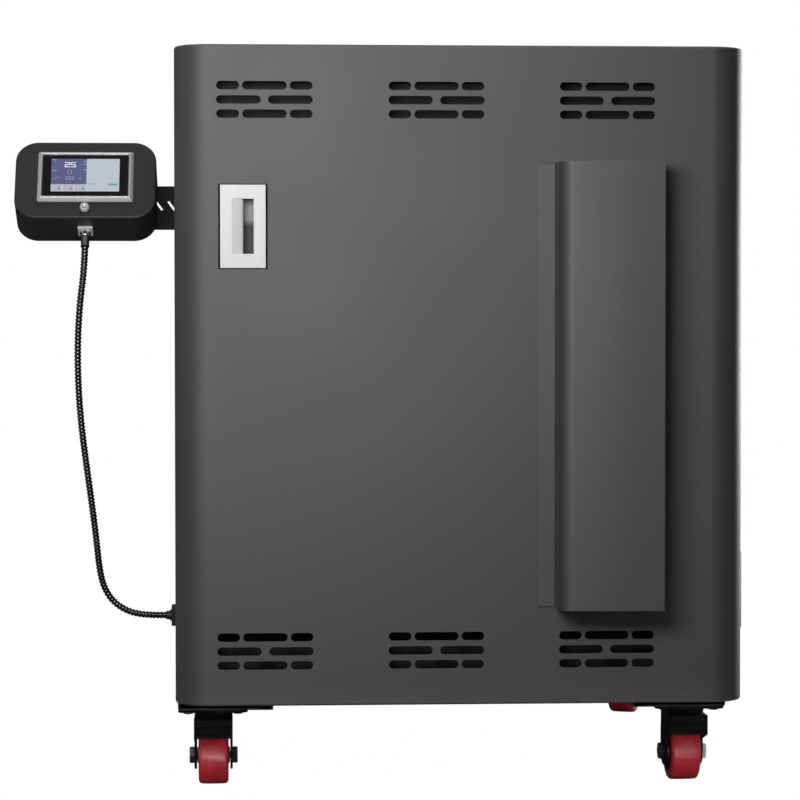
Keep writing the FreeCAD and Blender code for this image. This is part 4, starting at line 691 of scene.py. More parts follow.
class Grower(Graph):
    """A geometry node tree with named inputs, whose result is real and has one material."""

    def __init__(self, name: str) -> None:
        """Start a tree with a geometry input and output."""
        tree = bpy.data.node_groups.new(name, "GeometryNodeTree")
        tree.interface.new_socket("Geometry", in_out="INPUT", socket_type="NodeSocketGeometry")
        tree.interface.new_socket("Geometry", in_out="OUTPUT", socket_type="NodeSocketGeometry")
        super().__init__(tree)
        self.entry = tree.nodes.new("NodeGroupInput")
        self.names: dict[str, str] = {}

    def given(self, name: str, kind: str = "NodeSocketFloat") -> Value:
        """Add a named input and return it."""
        made = self.tree.interface.new_socket(name, in_out="INPUT", socket_type=kind)
        self.names[name] = made.identifier
        return Value(self.tree, self.entry.outputs[made.identifier])

    def base(self) -> Value:
        """The geometry that the tree starts from."""
        return Value(self.tree, self.entry.outputs[0])

    def close(self, geometry: Value) -> "Grower":
        """End the tree with real geometry in the given material."""
        real = self.out("GeometryNodeRealizeInstances", None, {0: geometry})
        material = self.given("Material", "NodeSocketMaterial")
        coloured = self.out("GeometryNodeSetMaterial", None, {"Geometry": real, "Material": material})
        self.node("NodeGroupOutput", None, {0: coloured})
        return self

    def grow(self, name: str, base: bpy.types.Mesh, **inputs: object) -> bpy.types.Object:
        """Run the tree on a mesh.

        Args:
            name: the new piece's name.
            base: the points or line that it grows from.
            inputs: values of the named inputs, with underscores for spaces.

        Returns:
            The plain mesh object.
        """
        made = fresh_object(name, base)
        modifier = made.modifiers.new("grow", "NODES")
        modifier.node_group = self.tree
        for label, value in inputs.items():
            modifier[self.names[label.replace("_", " ")]] = value
        return settle(made)


def copies_grower() -> Grower:
    """Copies of one small piece at the points of a mesh, each with its own slight turn."""
    tree = Grower("copies")
    part = tree.given("Part", "NodeSocketObject")
    turn = tree.given("Turn Range")
    seed = tree.given("Seed", "NodeSocketInt")
    shape = tree.out("GeometryNodeObjectInfo", None, {"Object": part}, "Geometry")
    axis = tree.given("Axis", "NodeSocketVector")
    random = tree.node("FunctionNodeRandomValue", {"data_type": "FLOAT"})
    picked = Value(tree.tree, random.outputs[1])
    feed(tree.tree, random.inputs[3], turn)
    feed(tree.tree, random.inputs[8], seed)
    scaled = tree.out("ShaderNodeVectorMath", {"operation": "SCALE"}, {0: axis, "Scale": picked})
    sockets = {"Points": tree.base(), "Instance": shape, "Rotation": scaled}
    return tree.close(tree.out("GeometryNodeInstanceOnPoints", None, sockets))


def ribbed_hose_grower() -> Grower:
    """A hose along a line, whose radius steps between a root and a crest four times in each rib."""
    tree = Grower("ribbed_hose")
    ribs = tree.given("Ribs", "NodeSocketInt")
    crest = tree.given("Crest Radius")
    root = tree.given("Root Radius")
    line = tree.out("GeometryNodeMeshToCurve", None, {0: tree.base()})
    spaced = tree.out("GeometryNodeResampleCurve", None, {"Curve": line, "Count": ribs * 6.0})
    step = tree.out("GeometryNodeInputIndex") % 6.0
    high = (step > 1.5) * (1.0 - (step > 4.5))
    radius = root + (crest - root) * high
    shaped = tree.out("GeometryNodeSetCurveRadius", None, {"Curve": spaced, "Radius": radius})
    ring = tree.out("GeometryNodeCurvePrimitiveCircle", {"mode": "RADIUS"}, {"Resolution": 16, "Radius": 1.0})
    sockets = {"Curve": shaped, "Profile Curve": ring, "Fill Caps": True}
    names = [entry.name for entry in tree.tree.nodes.new("GeometryNodeCurveToMesh").inputs]
    if "Scale" in names:
        sockets["Scale"] = radius
    return tree.close(tree.out("GeometryNodeCurveToMesh", None, sockets))


def coil_grower() -> Grower:
    """A heating coil: a thin wire that winds round a line at a steady pitch."""
    tree = Grower("heating_coil")
    points = tree.given("Points", "NodeSocketInt")
    per_turn = tree.given("Points In A Turn")
    reach = tree.given("Coil Radius")
    wire = tree.given("Wire Radius")
    line = tree.out("GeometryNodeMeshToCurve", None, {0: tree.base()})
    spaced = tree.out("GeometryNodeResampleCurve", None, {"Curve": line, "Count": points})
    tangent = tree.out("GeometryNodeInputTangent")
    normal = tree.out("GeometryNodeInputNormal")
    side = tree.out("ShaderNodeVectorMath", {"operation": "CROSS_PRODUCT"}, {0: tangent, 1: normal})
    angle = tree.out("GeometryNodeInputIndex") * (2 * math.pi) / per_turn
    across = tree.out(
        "ShaderNodeVectorMath", {"operation": "SCALE"}, {0: normal, "Scale": angle.math("COSINE", angle) * reach}
    )
    along = tree.out(
        "ShaderNodeVectorMath", {"operation": "SCALE"}, {0: side, "Scale": angle.math("SINE", angle) * reach}
    )
    offset = tree.out("ShaderNodeVectorMath", {"operation": "ADD"}, {0: across, 1: along})
    wound = tree.out("GeometryNodeSetPosition", None, {"Geometry": spaced, "Offset": offset})
    ring = tree.out("GeometryNodeCurvePrimitiveCircle", {"mode": "RADIUS"}, {"Resolution": 5, "Radius": wire})
    sockets = {"Curve": wound, "Profile Curve": ring, "Fill Caps": True}
    return tree.close(tree.out("GeometryNodeCurveToMesh", None, sockets))


def points_mesh(points: Iterable[Point], joined: bool = False) -> bpy.types.Mesh:
    """A mesh of bare points, or of a line through them."""
    places = [tuple(point) for point in points]
    mesh = bpy.data.meshes.new("points")
    edges = [(n, n + 1) for n in range(len(places) - 1)] if joined else []
    mesh.from_pydata(places, edges, [])
    return mesh


FINISH = Finishes()
COPIES = copies_grower()


def scatter(
    name: str, part: bmesh.types.BMesh, spots: Iterable[Point], material: bpy.types.Material,
    axis: Point = (0, 1, 0), turn: float = 6.28
) -> bpy.types.Object:
    """Grow copies of a small part at some places.

    Args:
        name: the new piece's name.
        part: the small part, made round the origin; it is used up.
        spots: where the copies go.
        material: their material.
        axis: the axis about which each is turned by chance.
        turn: the largest such turn, in radians.

    Returns:
        One object with all the copies.
    """
    sample = polish(from_bmesh(name + "_sample", part))
    made = COPIES.grow(
        name, points_mesh(spots), Part=sample, Turn_Range=turn, Seed=SEED, Axis=axis, Material=material
    )
    bpy.data.objects.remove(sample)
    return made


def pan_head(radius: float, height: float, heading: str) -> bmesh.types.BMesh:
    """A low domed screw head with a hexagon socket, with its top towards a direction."""
    turns = {
        "-Y": Matrix.Rotation(-math.pi / 2, 4, "Z"), "+Y": Matrix.Rotation(math.pi / 2, 4, "Z"),
        "-X": Matrix.Rotation(math.pi, 4, "Z"), "+X": Matrix.Identity(4),
    }
    socket = radius * 0.42
    profile = [
        (0, radius), (height * 0.45, radius), (height * 0.85, radius * 0.82), (height, radius * 0.6),
        (height, socket * 1.1), (height * 0.94, socket), (height * 0.35, socket), (height * 0.3, 0), (0, 0),
    ]
    shape = lathe(profile[::-1], 30)
    shape.transform(turns[heading])
    return shape


def box_middle(node: str) -> Vector:
    """The middle of a CAD node's box."""
    low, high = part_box(node)
    return (low + high) / 2


def softened(
    name: str, node: str, body: str, material: bpy.types.Material,
    passes: Sequence[tuple[float, int, Test | None]]
) -> bpy.types.Object:
    """Stand in for a CAD node with its own shape and rounded edges."""
    shape = joined_copy(node)
    for width, rounds, test in passes:
        soften(shape, width, rounds, test)
    return dress(polish(from_bmesh(name, shape)), body, material, [node])


def middle_of(edge: bmesh.types.BMEdge) -> Vector:
    """The middle of an edge."""
    return (edge.verts[0].co + edge.verts[1].co) / 2


def prism(outline: Sequence[Point], low: float, high: float, chamfer: float = 0.0) -> bmesh.types.BMesh:
    """An upright prism over an outline, with its upper and lower rims chamfered if asked."""
    shape = bmesh.new()
    base = [shape.verts.new((x, y, low)) for x, y in outline]
    face = shape.faces.new(base)
    raised = bmesh.ops.extrude_face_region(shape, geom=[face])
    for vert in (item for item in raised["geom"] if isinstance(item, bmesh.types.BMVert)):
        vert.co.z = high
    bmesh.ops.recalc_face_normals(shape, faces=shape.faces)
    if chamfer > 0:
        soften(shape, chamfer, 2, lambda e: abs(e.verts[0].co.z - e.verts[1].co.z) < 1e-7)
    return shape


def round_outline(wide: float, tall: float, corner: float, steps: int = 10) -> list[tuple[float, float]]:
    """A rectangle with rounded corners, anticlockwise round the origin."""
    points = []
    for quarter, (x, y) in enumerate(((1, 1), (-1, 1), (-1, -1), (1, -1))):
        for n in range(steps + 1 if corner > 0 else 1):
            angle = math.pi / 2 * (quarter + n / steps)
            reach = (wide / 2 - corner, tall / 2 - corner)
            points.append((x * reach[0] + corner * math.cos(angle), y * reach[1] + corner * math.sin(angle)))
    return points


def ring_frame(
    profile: Sequence[Point], wide: float, tall: float, corner: float, spot: Matrix
) -> bmesh.types.BMesh:
    """A rectangular frame swept from a profile.

    Args:
        profile: a closed outline of points (inset from the outer edge, height along local Y).
        wide: the outer width, along local X.
        tall: the outer height, along local Z.
        corner: the outer corner radius.
        spot: where the frame goes.

    Returns:
        The shape.
    """
    shape = bmesh.new()
    rings = []
    for inset, height in profile:
        outline = round_outline(wide - 2 * inset, tall - 2 * inset, max(corner - inset, 0.00005), 6)
        rings.append([shape.verts.new((x, height, z)) for x, z in outline])
    for one, other in zip(rings, rings[1:] + rings[:1]):
        for n in range(len(one)):
            after = (n + 1) % len(one)
            shape.faces.new((one[n], one[after], other[after], other[n]))
    bmesh.ops.recalc_face_normals(shape, faces=shape.faces)
    shape.transform(spot)
    return shape


def hexagon(across: float) -> list[tuple[float, float]]:
    """A hexagon with a flat side towards +X, from its width across flats."""
    reach = across / math.sqrt(3)
    return [(reach * math.cos(math.pi / 6 + math.pi / 3 * n), reach * math.sin(math.pi / 6 + math.pi / 3 * n)) for n in range(6)]


def strokes(lines: Sequence[Sequence[Point]], width: float, low: float, high: float) -> bmesh.types.BMesh:
    """Thin flat strokes along some lines in local X and Z, between two heights along local Y."""
    shape = bmesh.new()
    for line in lines:
        for (x0, z0), (x1, z1) in zip(line, line[1:]):
            start, end = Vector((x0, z0)), Vector((x1, z1))
            ahead = (end - start).normalized() * width / 2
            side = Vector((-ahead.y, ahead.x))
            corners = [start - ahead - side, end + ahead - side, end + ahead + side, start - ahead + side]
            under = [shape.verts.new((c.x, low, c.y)) for c in corners]
            over = [shape.verts.new((c.x, high, c.y)) for c in corners]
            shape.faces.new(under)
            shape.faces.new(over)
            for n in range(4):
                shape.faces.new((under[n], under[(n + 1) % 4], over[(n + 1) % 4], over[n]))
    bmesh.ops.recalc_face_normals(shape, faces=shape.faces)
    return shape


# The cabinet


@dataclass
class Cabinet:
    """The sheet-steel cabinet, its base rails and what closes its back and floor."""

    top: float = 0.954
    bottom: float = 0.1334
    half: float = 0.3575
    back: float = 0.435
    fold: float = 0.0028
    rail_fold: float = 0.003
    screw_radius: float = 0.0045
    screw_height: float = 0.0022
    screw_inset: float = 0.012
    screw_rows: int = 4
    bolt_places: tuple = ((-0.36, -0.206, 0.7452), (-0.36, -0.206, 0.7742))

    def build(self) -> None:
        """Build and dress the cabinet's pieces."""
        edge_half = self.half - 1e-4
        edge_top = self.top - 1e-4

        def outer_fold(edge: bmesh.types.BMEdge) -> bool:
            spot = middle_of(edge)
            return abs(spot.x) > edge_half and spot.z > edge_top

        softened(
            "cabinet_shell", "outer_shell", "cabinet", FINISH["cabinet_grey"],
            [(self.fold, 4, outer_fold)],
        )
        softened("cabinet_back", "rear_panel", "cabinet", FINISH["cabinet_grey"], [(0.0006, 2, None)])
        softened("floor_sheet", "bottom_panel", "cabinet", FINISH["cabinet_grey"], [(0.0004, 1, None)])
        softened("front_surround", "front_frame", "cabinet", FINISH["rolled_sheet"],
                 [(0.0006, 2, None)])
        self.rails()
        self.screws()

    def rails(self) -> None:
        """The base rails, with rolled corners along their length."""

        def long_corner(edge: bmesh.types.BMEdge) -> bool:
            spot = middle_of(edge)
            runs_back = abs(edge.verts[0].co.y - edge.verts[1].co.y) > 0.05
            return runs_back and abs(spot.x) > self.half - 1e-4

        softened("base_rails", "base_frame", "cabinet", FINISH["rail_grey"],
                 [(self.rail_fold, 3, long_corner), (0.0005, 1, None)])

    def screws(self) -> None:
        """The rear panel's screws and the bracket's bolts, as grown copies."""
        rows = self.screw_rows - 1
        step = (self.top - self.bottom - self.screw_inset * 2) / rows
        spots = []
        for side in (-1, 1):
            for n in range(self.screw_rows):
                spots.append((side * (self.half - self.screw_inset), self.back, self.bottom + self.screw_inset + step * n))
        heads = scatter("rear_screws", pan_head(self.screw_radius, self.screw_height, "+Y"), spots, FINISH["plated_steel"])
        dress(heads, "cabinet", FINISH["plated_steel"], ["panel_screws"])
        bolt = prism(hexagon(0.0095), 0, 0.0033, 0.0004)
        bolt.transform(Matrix.Rotation(-math.pi / 2, 4, "Y"))
        bolts = scatter("bracket_bolts", bolt, self.bolt_places, FINISH["dark_bolt"], (1, 0, 0), 1.0)
        dress(bolts, "cabinet", FINISH["dark_bolt"])


@dataclass
class Door:
    """The deep door: its outer sheet, back pan, seal and hinge halves."""

    top: float = 0.954
    bottom: float = 0.1334
    front: float = -0.435
    back: float = -0.31
    fold: float = 0.0032
    rim: float = 0.0005

    def build(self) -> None:
        """Build and dress the door's pieces."""

        def outer_fold(edge: bmesh.types.BMEdge) -> bool:
            spot = middle_of(edge)
            level = spot.z > self.top - 1e-4 or spot.z < self.bottom + 1e-4
            return level and spot.y < self.back - 0.001

        def slot_rim(edge: bmesh.types.BMEdge) -> bool:
            spot = middle_of(edge)
            return abs(spot.y - self.front) < 1e-5 and self.bottom + 0.01 < spot.z < self.top - 0.01

        softened("door_skin", "door_shell", "door", FINISH["cabinet_grey"],
                 [(self.fold, 4, outer_fold), (self.rim, 2, slot_rim)])
        # The back pan is near-black: painted shade behind the vent slots.
        softened("door_pan", "door_back_pan", "door", FINISH["pan_painted_shade"], [(0.0005, 1, None)])
        softened("door_plug", "door_lining", "door", FINISH["brick_across"], [(0.0012, 1, None)])
        softened("door_seal", "door_gasket", "door", FINISH["seal_fibre"], [(0.0012, 2, None)])
        softened("hinge_knuckles_door", "hinge_door_barrels", "door", FINISH["plated_steel"],
                 [(0.0005, 2, None)])
        softened("hinge_knuckles_fixed", "hinge_fixed_barrels", "cabinet", FINISH["plated_steel"],
                 [(0.0005, 2, None)])
        softened("hinge_pin_pair", "hinge_pins", "cabinet", FINISH["plated_steel"],
                 [(0.0006, 2, None)])


@dataclass
class Cover:
    """The tall terminal cover on the door."""

    bend: float = 0.0011
    flange_outer: float = 0.0947
    flange_inner: float = 0.1155
    flange_level: float = -0.4352
    flange_lean: float = 0.05
    face_left: float = 0.1162
    face_depth: float = -0.452
    bow_end: float = 0.2112
    bow_slope: float = 0.16
    bow_cuts: int = 8

    def build(self) -> None:
        """Build and dress the cover, whose flange leans a little off the door's sheet."""
        shape = joined_copy("terminal_cover")
        soften(shape, self.bend, 3)
        for vert in shape.verts:
            if vert.co.x < self.flange_inner and vert.co.y < self.flange_level:
                vert.co.y -= (vert.co.x - self.flange_outer) * self.flange_lean
        self.bow(shape)
        piece = polish(from_bmesh("wiring_cover", shape), 50)
        dress(piece, "door", FINISH["cabinet_grey"], ["terminal_cover"])

    def bow(self, shape: bmesh.types.BMesh) -> None:
        """Curve the left half of the cover's face gently back towards the door."""
        reach = self.bow_end - self.face_left
        for n in range(1, self.bow_cuts + 1):
            level = (self.face_left + reach * n / self.bow_cuts, 0, 0)
            parts = shape.verts[:] + shape.edges[:] + shape.faces[:]
            bmesh.ops.bisect_plane(shape, geom=parts, plane_co=level, plane_no=(1, 0, 0))
        for vert in shape.verts:
            if vert.co.y < self.face_depth and vert.co.x < self.bow_end:
                vert.co.y += self.bow_slope / (2 * reach) * (self.bow_end - vert.co.x) ** 2


@dataclass
class Pull:
    """The pale pull plate, with a finger hollow that falls gently from the left to its deep half."""

    x: float = -0.2717
    z: float = 0.7291
    front: float = -0.4375
    sheet: float = -0.435
    half_wide: float = 0.0282
    half_tall: float = 0.0515
    hollow_half: float = 0.0132
    hollow_tall: float = 0.03395
    wall: float = 0.0015
    hollow: tuple = (
        (-0.0132, 0.0), (-0.0132, 0.0005), (-0.0030, 0.0022), (-0.0005, 0.0034), (0.0010, 0.0060),
        (0.0018, 0.0262), (0.0132, 0.0262), (0.0132, 0.0),
    )
    edge: float = 0.0007
    # How far the dark ring reaches past the plate; the ring is painted shadow.
    seal: float = 0.0022

    def build(self) -> None:
        """Build and dress the pull and the dark ring behind its plate, which is painted shadow round the plate's
        edges.
        """
        shape = bmesh.new()
        outer = self.ring(shape, self.half_wide, self.half_tall, self.front)
        under = self.ring(shape, self.half_wide, self.half_tall, self.sheet)
        reach = self.hollow_half + self.wall
        height = self.hollow_tall + self.wall
        neck = self.ring(shape, reach, height, self.sheet)
        floor = self.ring(shape, reach, height, self.front + 0.0277)
        for one, other in ((outer, under), (under, neck), (neck, floor)):
            for n in range(4):
                shape.faces.new((one[n], one[(n + 1) % 4], other[(n + 1) % 4], other[n]))
        shape.faces.new(floor)
        lower, upper = [], []
        for across, depth in self.hollow:
            lower.append(shape.verts.new((self.x + across, self.front + depth, self.z - self.hollow_tall)))
            upper.append(shape.verts.new((self.x + across, self.front + depth, self.z + self.hollow_tall)))
        for n in range(len(self.hollow) - 1):
            shape.faces.new((lower[n], lower[n + 1], upper[n + 1], upper[n]))
        shape.faces.new(lower)
        shape.faces.new(upper)
        mouth = [lower[0], lower[-1], upper[-1], upper[0]]
        for n in range(4):
            shape.faces.new((outer[n], outer[(n + 1) % 4], mouth[(n + 1) % 4], mouth[n]))
        bmesh.ops.recalc_face_normals(shape, faces=shape.faces)
        soften(shape, self.edge, 3, lambda edge: middle_of(edge).y < self.front + 1e-5)
        piece = polish(from_bmesh("door_pull", shape))
        dress(piece, "door", FINISH["pull_white"], ["pull_handle"])
        # A thin dark ring behind the plate: painted shadow at the plate's edges.
        profile = [(0.0, -0.0007), (0.004, -0.0007), (0.004, -0.0001), (0.0, -0.0001)]
        size = [2 * (reach + self.seal) for reach in (self.half_wide, self.half_tall - self.seal / 2)]
        at = Matrix.Translation((self.x, self.sheet, self.z))
        seal = polish(from_bmesh("pull_seal", ring_frame(profile, *size, 0.001, at)))
        dress(seal, "door", FINISH["painted_shadow_black"])

    def ring(self, shape: bmesh.types.BMesh, reach: float, height: float, y: float) -> list[bmesh.types.BMVert]:
        """Four corners round the pull's middle, at a depth."""
        corners = ((-reach, -height), (reach, -height), (reach, height), (-reach, height))
        return [shape.verts.new((self.x + x, y, self.z + z)) for x, z in corners]


# The controller


CASE = Matrix((
    (1.0, 0.0, 0.0, -0.4727),
    (0.0, 0.85985, 0.51054, -0.307),
    (0.0, -0.51054, 0.85985, 0.7929),
    (0.0, 0.0, 0.0, 1.0),
))
SEGMENTS = {
    "0": "abcdef", "2": "abged", "5": "afgcd", "8": "abcdefg", "U": "bcdef",
}
BARS = {
    "a": ((0, 2), (1, 2)), "b": ((1, 2), (1, 1)), "c": ((1, 1), (1, 0)), "d": ((0, 0), (1, 0)),
    "e": ((0, 1), (0, 0)), "f": ((0, 2), (0, 1)), "g": ((0, 1), (1, 1)),
}


def digit(sign: str, left: float, low: float, wide: float, tall: float) -> list[list[Point]]:
    """The strokes of one digit of a display, in a box."""
    lines = []
    for bar in SEGMENTS[sign]:
        lines.append([(left + x * wide, low + y * tall / 2) for x, y in BARS[bar]])
    return lines


@dataclass
class Controller:
    """The tilted controller with its display, toggle, connector and bracket."""

    half_wide: float = 0.0897
    half_tall: float = 0.0579
    face_edge: float = 0.0026
    bezel_wide: float = 0.1217
    bezel_tall: float = 0.0755
    bezel_rise: float = 0.0034
    glass_level: float = -0.0035
    layer: float = 0.00006
    toggle_drop: float = -0.044
    connector_inward: float = 0.029

    def build(self) -> None:
        """Build and dress the controller's pieces."""
        self.case()
        self.bezel()
        self.picture()
        self.toggle()
        self.connector()
        softened("controller_arm", "controller_bracket", "cabinet", FINISH["bracket_black"],
                 [(0.0006, 2, None)])

    def case(self) -> None:
        """The case and its back plate, with a soft edge round the face."""
        inverse = CASE.inverted()

        def outline(edge: bmesh.types.BMEdge) -> bool:
            spot = inverse @ middle_of(edge)
            near_rim = max(abs(spot.x) / self.half_wide, abs(spot.z) / self.half_tall) > 0.87
            return near_rim and abs(spot.y) < 2e-5

        softened("controller_shell", "controller_case", "cabinet", FINISH["case_black"],
                 [(self.face_edge, 4, outline)])
        softened("controller_rear", "controller_back", "cabinet", FINISH["black_moulding"],
                 [(0.0008, 2, None)])

    def bezel(self) -> None:
        """The sloping frame, with a bright lip inside it, and the black glass."""
        centre = CASE @ Matrix.Translation((0, 0, self.bezel_rise))
        outer = [
            (0, 0.0), (0, -0.0010), (0.0002, -0.0014), (0.0034, -0.0048), (0.0038, -0.005), (0.0048, -0.005),
            (0.0048, 0.006), (0.0038, 0.006), (0.0038, 0.0),
        ]
        frame_piece = polish(from_bmesh("display_surround", ring_frame(outer, self.bezel_wide, self.bezel_tall, 0.0025, centre)))
        dress(frame_piece, "cabinet", FINISH["bezel_steel"], ["display_bezel"])
        lip = [(0.0048, -0.0015), (0.0048, -0.0052), (0.0053, -0.0054), (0.0058, -0.0051), (0.0066, -0.0036), (0.0066, -0.0015)]
        lip_piece = polish(from_bmesh("display_lip", ring_frame(lip, self.bezel_wide, self.bezel_tall, 0.0025, centre)), 60)
        dress(lip_piece, "cabinet", FINISH["bezel_lip"])
        reach, height = self.bezel_wide / 2 - 0.0045, self.bezel_tall / 2 - 0.0045
        glass = slab((-reach, self.glass_level, -height), (reach, self.glass_level + 0.0035, height), centre)
        dress(polish(from_bmesh("display_glass", glass)), "cabinet", FINISH["glass_black"], ["display_screen"])

    def panel(self, name: str, areas: Sequence[Point], layer: int, finish: str) -> None:
        """Flat lit areas on the glass.

        Args:
            name: the piece's name.
            areas: left, low, right and high of each, in millimetres from the face's centre.
            layer: how many layers it stands off the glass.
            finish: its material.
        """
        front = self.glass_level - self.layer * layer
        blocks = []
        for left, low, right, high in areas:
            blocks.append(slab((left * MM, front, low * MM), (right * MM, front + self.layer, high * MM), CASE))
        piece = from_bmesh(name, merge(*blocks))
        dress(piece, "cabinet", FINISH[finish])

    def picture(self) -> None:
        """What the display shows: a temperature panel, three keys, a pale panel and two bars."""
        self.panel("screen_ground", [(-43.6, -20.4, 43.2, 29.2)], 1, "display_pale")
        self.panel("screen_panel", [(-43.6, -9.7, 1.4, 29.2)], 2, "display_violet")
        keys = [(-42.8, -19.4, -30.8, -10.7), (-28.0, -19.4, -15.4, -10.7), (-12.9, -19.4, -0.2, -10.7)]
        self.panel("screen_keys", keys, 2, "display_key")
        shades = [(right - 3.6, low + 0.8, right - 0.6, high - 3.4) for left, low, right, high in keys]
        self.panel("screen_key_shades", shades, 3, "display_shade")
        self.panel("screen_bar_teal", [(29.1, -11.4, 40.6, -8.6)], 2, "display_tint")
        self.panel("screen_bar_sand", [(2.8, -10.0, 13.8, -8.2)], 2, "display_sand")
        bold = digit("2", -26.2, 16.9, 5.4, 6.6) + digit("5", -18.6, 16.9, 5.4, 6.6)
        self.signs("screen_number", [(bold, 1.15)], "display_marks")
        small = digit("0", -25.0, -2.6, 2.3, 4.4) + digit("0", -20.9, -2.6, 2.3, 4.4) + digit("0", -16.9, -2.6, 2.3, 4.4)
        small.append([(-22.6, 11.6), (-22.6, 7.4), (-21.2, 5.9), (-19.4, 5.9), (-18.0, 7.4), (-18.0, 11.6), (-22.6, 11.6)])
        small.append([(-41.8, -2.6), (-39.6, -0.4), (-37.6, -1.2), (-35.8, 0.8), (-33.4, 1.4)])
        marks = [[(-42.4, 27.8), (-37.6, 27.8)], [(-42.0, 11.4), (-37.2, 11.4)], [(-7.6, -1.0), (-6.2, -1.0)]]
        marks += [[(-1.4, z), (0.4, z)] for z in (25.6, 21.0, 12.4)]
        self.signs("screen_signs", [(small, 0.55), (marks, 1.3)], "display_dim")

    def signs(self, name: str, sets: Sequence[tuple[Sequence[Sequence[Point]], float]], finish: str) -> None:
        """Thin strokes on the glass.

        Args:
            name: the piece's name.
            sets: lines in millimetres from the face's centre, with their width.
            finish: their material.
        """
        front = self.glass_level - self.layer * 3
        shapes = []
        for lines, width in sets:
            scaled = [[(x * MM, z * MM) for x, z in line] for line in lines]
            shapes.append(strokes(scaled, width * MM, front, front + self.layer))
        piece = merge(*shapes)
        piece.transform(CASE)
        dress(from_bmesh(name, piece), "cabinet", FINISH[finish])

    def toggle(self) -> None:
        """The power toggle: hexagon nut, bright domed cap and a short lever."""
        out = CASE @ Matrix.Translation((0, 0, self.toggle_drop)) @ Matrix.Rotation(-math.pi / 2, 4, "Z")
        dome = lathe([
            (-0.014, 0.0), (-0.014, 0.005), (0.0018, 0.005), (0.0018, 0.0060), (0.0034, 0.0060), (0.0050, 0.0056),
            (0.0062, 0.0049), (0.0070, 0.0041), (0.0073, 0.0036), (0.0068, 0.0033), (0.003, 0.0032), (0.0026, 0.0),
        ], 48, out)
        cap = polish(from_bmesh("toggle_collar", dome))
        dress(cap, "cabinet", FINISH["bright_cap"], ["toggle_bushing"])
        nut = prism(hexagon(0.0132), 0.0, 0.0018, 0.0004)
        nut.transform(out @ Matrix.Rotation(math.pi / 2, 4, "Y"))
        dress(polish(from_bmesh("toggle_nut", nut)), "cabinet", FINISH["dark_bolt"])
        lean = math.radians(73.3)
        pivot = Vector((-0.4727, -0.329464, 0.755066))
        heading = Vector((0, -math.sin(lean), math.cos(lean)))
        spot = Matrix.Translation(pivot) @ heading.to_track_quat("X", "Z").to_matrix().to_4x4()
        lever = lathe([
            (-0.0027, 0.0), (-0.0027, 0.0022), (0.0, 0.0027), (0.0026, 0.0021), (0.004, 0.0017), (0.008, 0.0019),
            (0.0105, 0.0025), (0.0118, 0.0026), (0.0127, 0.002), (0.013, 0.001), (0.01305, 0.0),
        ], 40, spot)
        piece = polish(from_bmesh("toggle_tip", lever), 70)
        dress(piece, "toggle", FINISH["bright_cap"], ["toggle_lever"])

    def connector(self) -> None:
        """Square cast flange with four screws, a knurled ring and a tapered ferrule under the case."""
        under = CASE @ Matrix.Translation((0, self.connector_inward, -self.half_tall))
        down = under @ Matrix.Rotation(math.pi, 4, "X")
        flange = prism(round_outline(0.019, 0.019, 0.0010), 0.0, 0.0030, 0.0004)
        shapes = [flange]
        for x in (-0.0076, 0.0076):
            for y in (-0.0076, 0.0076):
                screw = lathe([(0.0, 0.0), (0.0, 0.0014), (0.0007, 0.0013), (0.001, 0.0008), (0.001, 0.0)], 16)
                screw.transform(Matrix.Translation((x, y, 0.0030)) @ Matrix.Rotation(-math.pi / 2, 4, "Y"))
                shapes.append(screw)
        plate = merge(*shapes)
        plate.transform(down)
        dress(polish(from_bmesh("hose_flange", plate), 30), "cabinet", FINISH["cast_zinc"])
        ring = self.knurl(((0.0030, 0.0062), (0.0036, 0.0070), (0.0096, 0.0070), (0.0104, 0.0066), (0.0110, 0.0060)))
        ring.transform(down)
        ferrule = lathe([
            (0.0105, 0.0046), (0.0105, 0.0058), (0.0118, 0.0062), (0.0140, 0.0060), (0.0165, 0.0056),
            (0.0200, 0.0054), (0.0236, 0.0053), (0.0240, 0.0057), (0.0250, 0.0057), (0.0254, 0.0053), (0.0254, 0.0046),
        ], 48)
        ferrule.transform(down @ Matrix.Rotation(-math.pi / 2, 4, "Y"))
        piece = polish(from_bmesh("hose_coupling", merge(ring, ferrule)), 30)
        dress(piece, "cabinet", FINISH["bright_nickel"], ["conduit_connector"])

    def knurl(self, levels: Sequence[Point], count: int = 72, ridge: float = 0.0003) -> bmesh.types.BMesh:
        """A ring with fine upright ridges.

        Args:
            levels: heights and radii from its foot to its head; the first and last stay plain.
            count: corners round it, of which every other one is a ridge.
            ridge: the ridges' height.

        Returns:
            The shape, upright about local Z.
        """
        ring = bmesh.new()
        rows = []
        for place, (level, radius) in enumerate(levels):
            row = []
            for n in range(count):
                drop = ridge if n % 2 and 0 < place < len(levels) - 1 else 0.0
                angle = 2 * math.pi * n / count
                row.append(ring.verts.new(((radius - drop) * math.cos(angle), (radius - drop) * math.sin(angle), level)))
            rows.append(row)
        for one, other in zip(rows, rows[1:]):
            for n in range(count):
                ring.faces.new((one[n], one[(n + 1) % count], other[(n + 1) % count], other[n]))
        ring.faces.new(rows[0])
        ring.faces.new(rows[-1])
        bmesh.ops.recalc_face_normals(ring, faces=ring.faces)
        return ring


